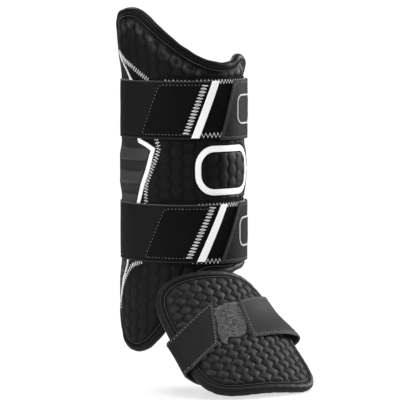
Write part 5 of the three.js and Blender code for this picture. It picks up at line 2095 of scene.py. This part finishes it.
@dataclass(frozen=True)
class SheetSeam:
    """Straight rows of stitches on a sheet that is given by the grid of its middle surface."""

    grid: Array
    run: Array
    out: float
    pitch: float
    margin: float = 0.29

    def along(self, share: float, ends: tuple[float, float]) -> tuple[Array, Array, Array]:
        """Place a row along the sheet.

        Args:
            share: Its place across the sheet.
            ends: First and last distance of the stitches.

        Returns:
            Starts, ends and outward directions.
        """
        both = self.grid, sheet_normals(self.grid)
        line, ways = (line_of(values, STRAP_SHARES, share) for values in both)
        count = max(2, round((ends[1] - ends[0]) / self.pitch))
        return self.row(line, ways, self.run, np.linspace(*ends, count + 1), self.margin * self.pitch)

    def across(self, at: float, ends: tuple[float, float]) -> tuple[Array, Array, Array]:
        """Place a row across the sheet.

        Args:
            at: Its distance along the sheet.
            ends: Places across the sheet where it starts and ends.

        Returns:
            Starts, ends and outward directions.
        """
        turned = (values.swapaxes(0, 1) for values in (self.grid, sheet_normals(self.grid)))
        line, ways = (line_of(values, self.run, at) for values in turned)
        width = float(np.linalg.norm(line[-1] - line[0]))
        count = max(2, round(width * (ends[1] - ends[0]) / self.pitch))
        places = np.linspace(*ends, count + 1)
        return self.row(line, ways, STRAP_SHARES, places, self.margin * (places[1] - places[0]))

    def row(self, line: Array, ways: Array, marks: Array, places: Array,
            bare: float) -> tuple[Array, Array, Array]:
        """Place one stitch in each step of a line.

        Args:
            line: The line's points.
            ways: The outward directions there.
            marks: Place of each point along the line.
            places: Where the steps start and end.
            bare: Part of a step that stays bare at each end.

        Returns:
            Starts, ends and outward directions.
        """
        lifted = line + unit(ways) * self.out
        first, last = places[:-1] + bare, places[1:] - bare

        def read(at: Array, values: Array) -> Array:
            """Read values at places along the line."""
            return np.stack([np.interp(at, marks, values[:, i]) for i in range(3)], -1)

        return read(first, lifted), read(last, lifted), unit(read((first + last) / 2.0, ways))


def line_of(grid: Array, marks: Array, at: float) -> Array:
    """Read every row of a grid at one place.

    Args:
        grid: The grid, rows by columns by three.
        marks: Place of each column.
        at: The place.

    Returns:
        One point for each row.
    """
    return np.array([[np.interp(at, marks, row[:, i]) for i in range(3)] for row in grid])


# Studio

@dataclass(frozen=True)
class SoftBox:
    """A square soft box that faces the object."""

    name: str
    place: tuple[float, float, float]
    size: float
    watts: float
    mirrored: bool = True


@dataclass(frozen=True)
class Studio:
    """The pale floor, the soft light and the camera."""

    azimuth: float = -44.0
    elevation: float = 4.0
    distance: float = 3.2
    lens: float = 250.56
    shift: tuple[float, float] = (0.0425, -0.05)
    floor_level: float = -0.2236
    floor_radius: float = 1.1
    floor_sides: int = 64
    lights: tuple[SoftBox, ...] = (
        SoftBox("front", (-1.9, -2.2, 1.0), 1.2, 38.0, mirrored=False),
        SoftBox("top", (-0.1, -0.3, 2.4), 1.3, 30.0),
        SoftBox("left", (-2.3, 0.75, 0.9), 1.1, 26.0),
        SoftBox("right", (2.3, -0.6, 0.8), 1.0, 98.0),
        SoftBox("back", (0.9, 1.9, 1.3), 1.0, 38.0),
    )

    def build(self) -> None:
        """Build the whole studio."""
        self.build_floor()
        self.build_world()
        self.build_lights()
        self.build_camera()
        view = bpy.context.scene.view_settings
        view.view_transform = "Standard"
        view.look = "None"
        view.exposure = 0.0

    def build_floor(self) -> None:
        """Lay the plain pale floor."""
        turns = np.linspace(0.0, 2.0 * math.pi, self.floor_sides + 1)[:-1]
        radius, level = self.floor_radius, self.floor_level
        points = [(radius * math.cos(turn), radius * math.sin(turn), level) for turn in turns]
        mesh = bpy.data.meshes.new("floor")
        mesh.from_pydata(points, [], [tuple(range(self.floor_sides))])
        made = bpy.data.materials.new("pale_floor")
        made.use_nodes = True
        made.node_tree.nodes.clear()
        nodes = Nodes(made.node_tree)
        place = nodes.add("ShaderNodeTexCoord").outputs["Object"]
        reach = nodes.signal("ShaderNodeVectorMath", {"operation": "LENGTH"}, {0: place}, "Value")
        glow = 0.35 + ((reach - 0.1) / 0.5).clamped() * 0.65
        lit = nodes.add("ShaderNodeBsdfDiffuse", None, {"Color": grey(0.82)})
        bright = nodes.add("ShaderNodeEmission", None, {"Color": grey(1.0), "Strength": 1.05})
        both = nodes.add("ShaderNodeMixShader", None, {0: glow, 1: lit.outputs[0], 2: bright.outputs[0]})
        nodes.add("ShaderNodeOutputMaterial", None, {0: both.outputs[0]})
        mesh.materials.append(made)
        linked("floor", mesh)

    def build_world(self) -> None:
        """Light the room evenly from above, and show a white backdrop."""
        world = bpy.data.worlds.new("studio")
        bpy.context.scene.world = world
        world.use_nodes = True
        world.node_tree.nodes.clear()
        nodes = Nodes(world.node_tree)
        way = nodes.add("ShaderNodeTexCoord").outputs["Generated"]
        rise = nodes.signal("ShaderNodeSeparateXYZ", None, {0: way}, "Z").clamped()
        seen = nodes.signal("ShaderNodeLightPath", None, None, "Is Camera Ray")
        strength = 0.1 + rise * 0.2
        backdrop = nodes.add("ShaderNodeBackground", None, {"Color": grey(1.0), "Strength": 1.05})
        light = nodes.add("ShaderNodeBackground", None, {"Color": grey(1.0), "Strength": strength})
        both = nodes.add("ShaderNodeMixShader", None, {0: seen, 1: light.outputs[0], 2: backdrop.outputs[0]})
        nodes.add("ShaderNodeOutputWorld", None, {0: both.outputs[0]})

    def build_lights(self) -> None:
        """Hang the soft boxes."""
        for box in self.lights:
            lamp = bpy.data.lights.new(box.name, "AREA")
            lamp.size = box.size
            lamp.energy = box.watts
            made = linked(box.name, lamp)
            made.location = box.place
            made.rotation_euler = (-Vector(box.place)).to_track_quat("-Z", "Y").to_euler()
            made.visible_glossy = box.mirrored

    def build_camera(self) -> None:
        """Set the camera at the photograph's angle."""
        turn, rise = math.radians(self.azimuth), math.radians(self.elevation)
        toward = Vector((math.sin(turn) * math.cos(rise), -math.cos(turn) * math.cos(rise), math.sin(rise)))
        lens = bpy.data.cameras.new("camera")
        lens.sensor_width = 36.0
        lens.lens = self.lens
        lens.shift_x, lens.shift_y = self.shift
        lens.clip_start, lens.clip_end = 0.05, 100.0
        camera = linked("camera", lens)
        camera.location = toward * self.distance
        camera.rotation_euler = (-toward).to_track_quat("-Z", "Y").to_euler()
        bpy.context.scene.camera = camera


def main() -> None:
    """Build the leg guard and its studio."""
    logging.basicConfig(level=logging.INFO, format="%(message)s")
    Studio().build()
    oval, arch, stitching = LegOval(), FootArch(), Stitching()
    upper_level, lower_level = oval.strap_levels
    shell = ShinShell(oval, stitching)
    shell.build()
    LegStrap(
        "upper", oval, stitching, upper_level,
        ribbon_top=12.2, ribbon_bottom=32.4, tab_top=-4.6, tab_bottom=12.2, frame_turn=-24.0,
        box_line=((30.5, 0.1115), (66.6, 0.1115), (69.5, 0.109), (86.6, 0.0556), (38.0, 0.0556)),
        zigzag_ends=((26.8, 0.1112), (44.6, 0.0555)),
    ).build()
    LegStrap(
        "lower", oval, stitching, lower_level,
        ribbon_top=3.0, ribbon_bottom=27.2, tab_top=-13.2, tab_bottom=11.6, frame_turn=-28.0,
        box_line=((16.0, -0.028), (61.9, -0.028), (64.7, -0.0315), (82.7, -0.0836), (38.0, -0.0836)),
        zigzag_ends=((19.1, -0.0265), (41.8, -0.0845)),
    ).build()
    FootPad(arch, oval, shell, stitching, Fuzz()).build()


if __name__ == "__main__":
    main()
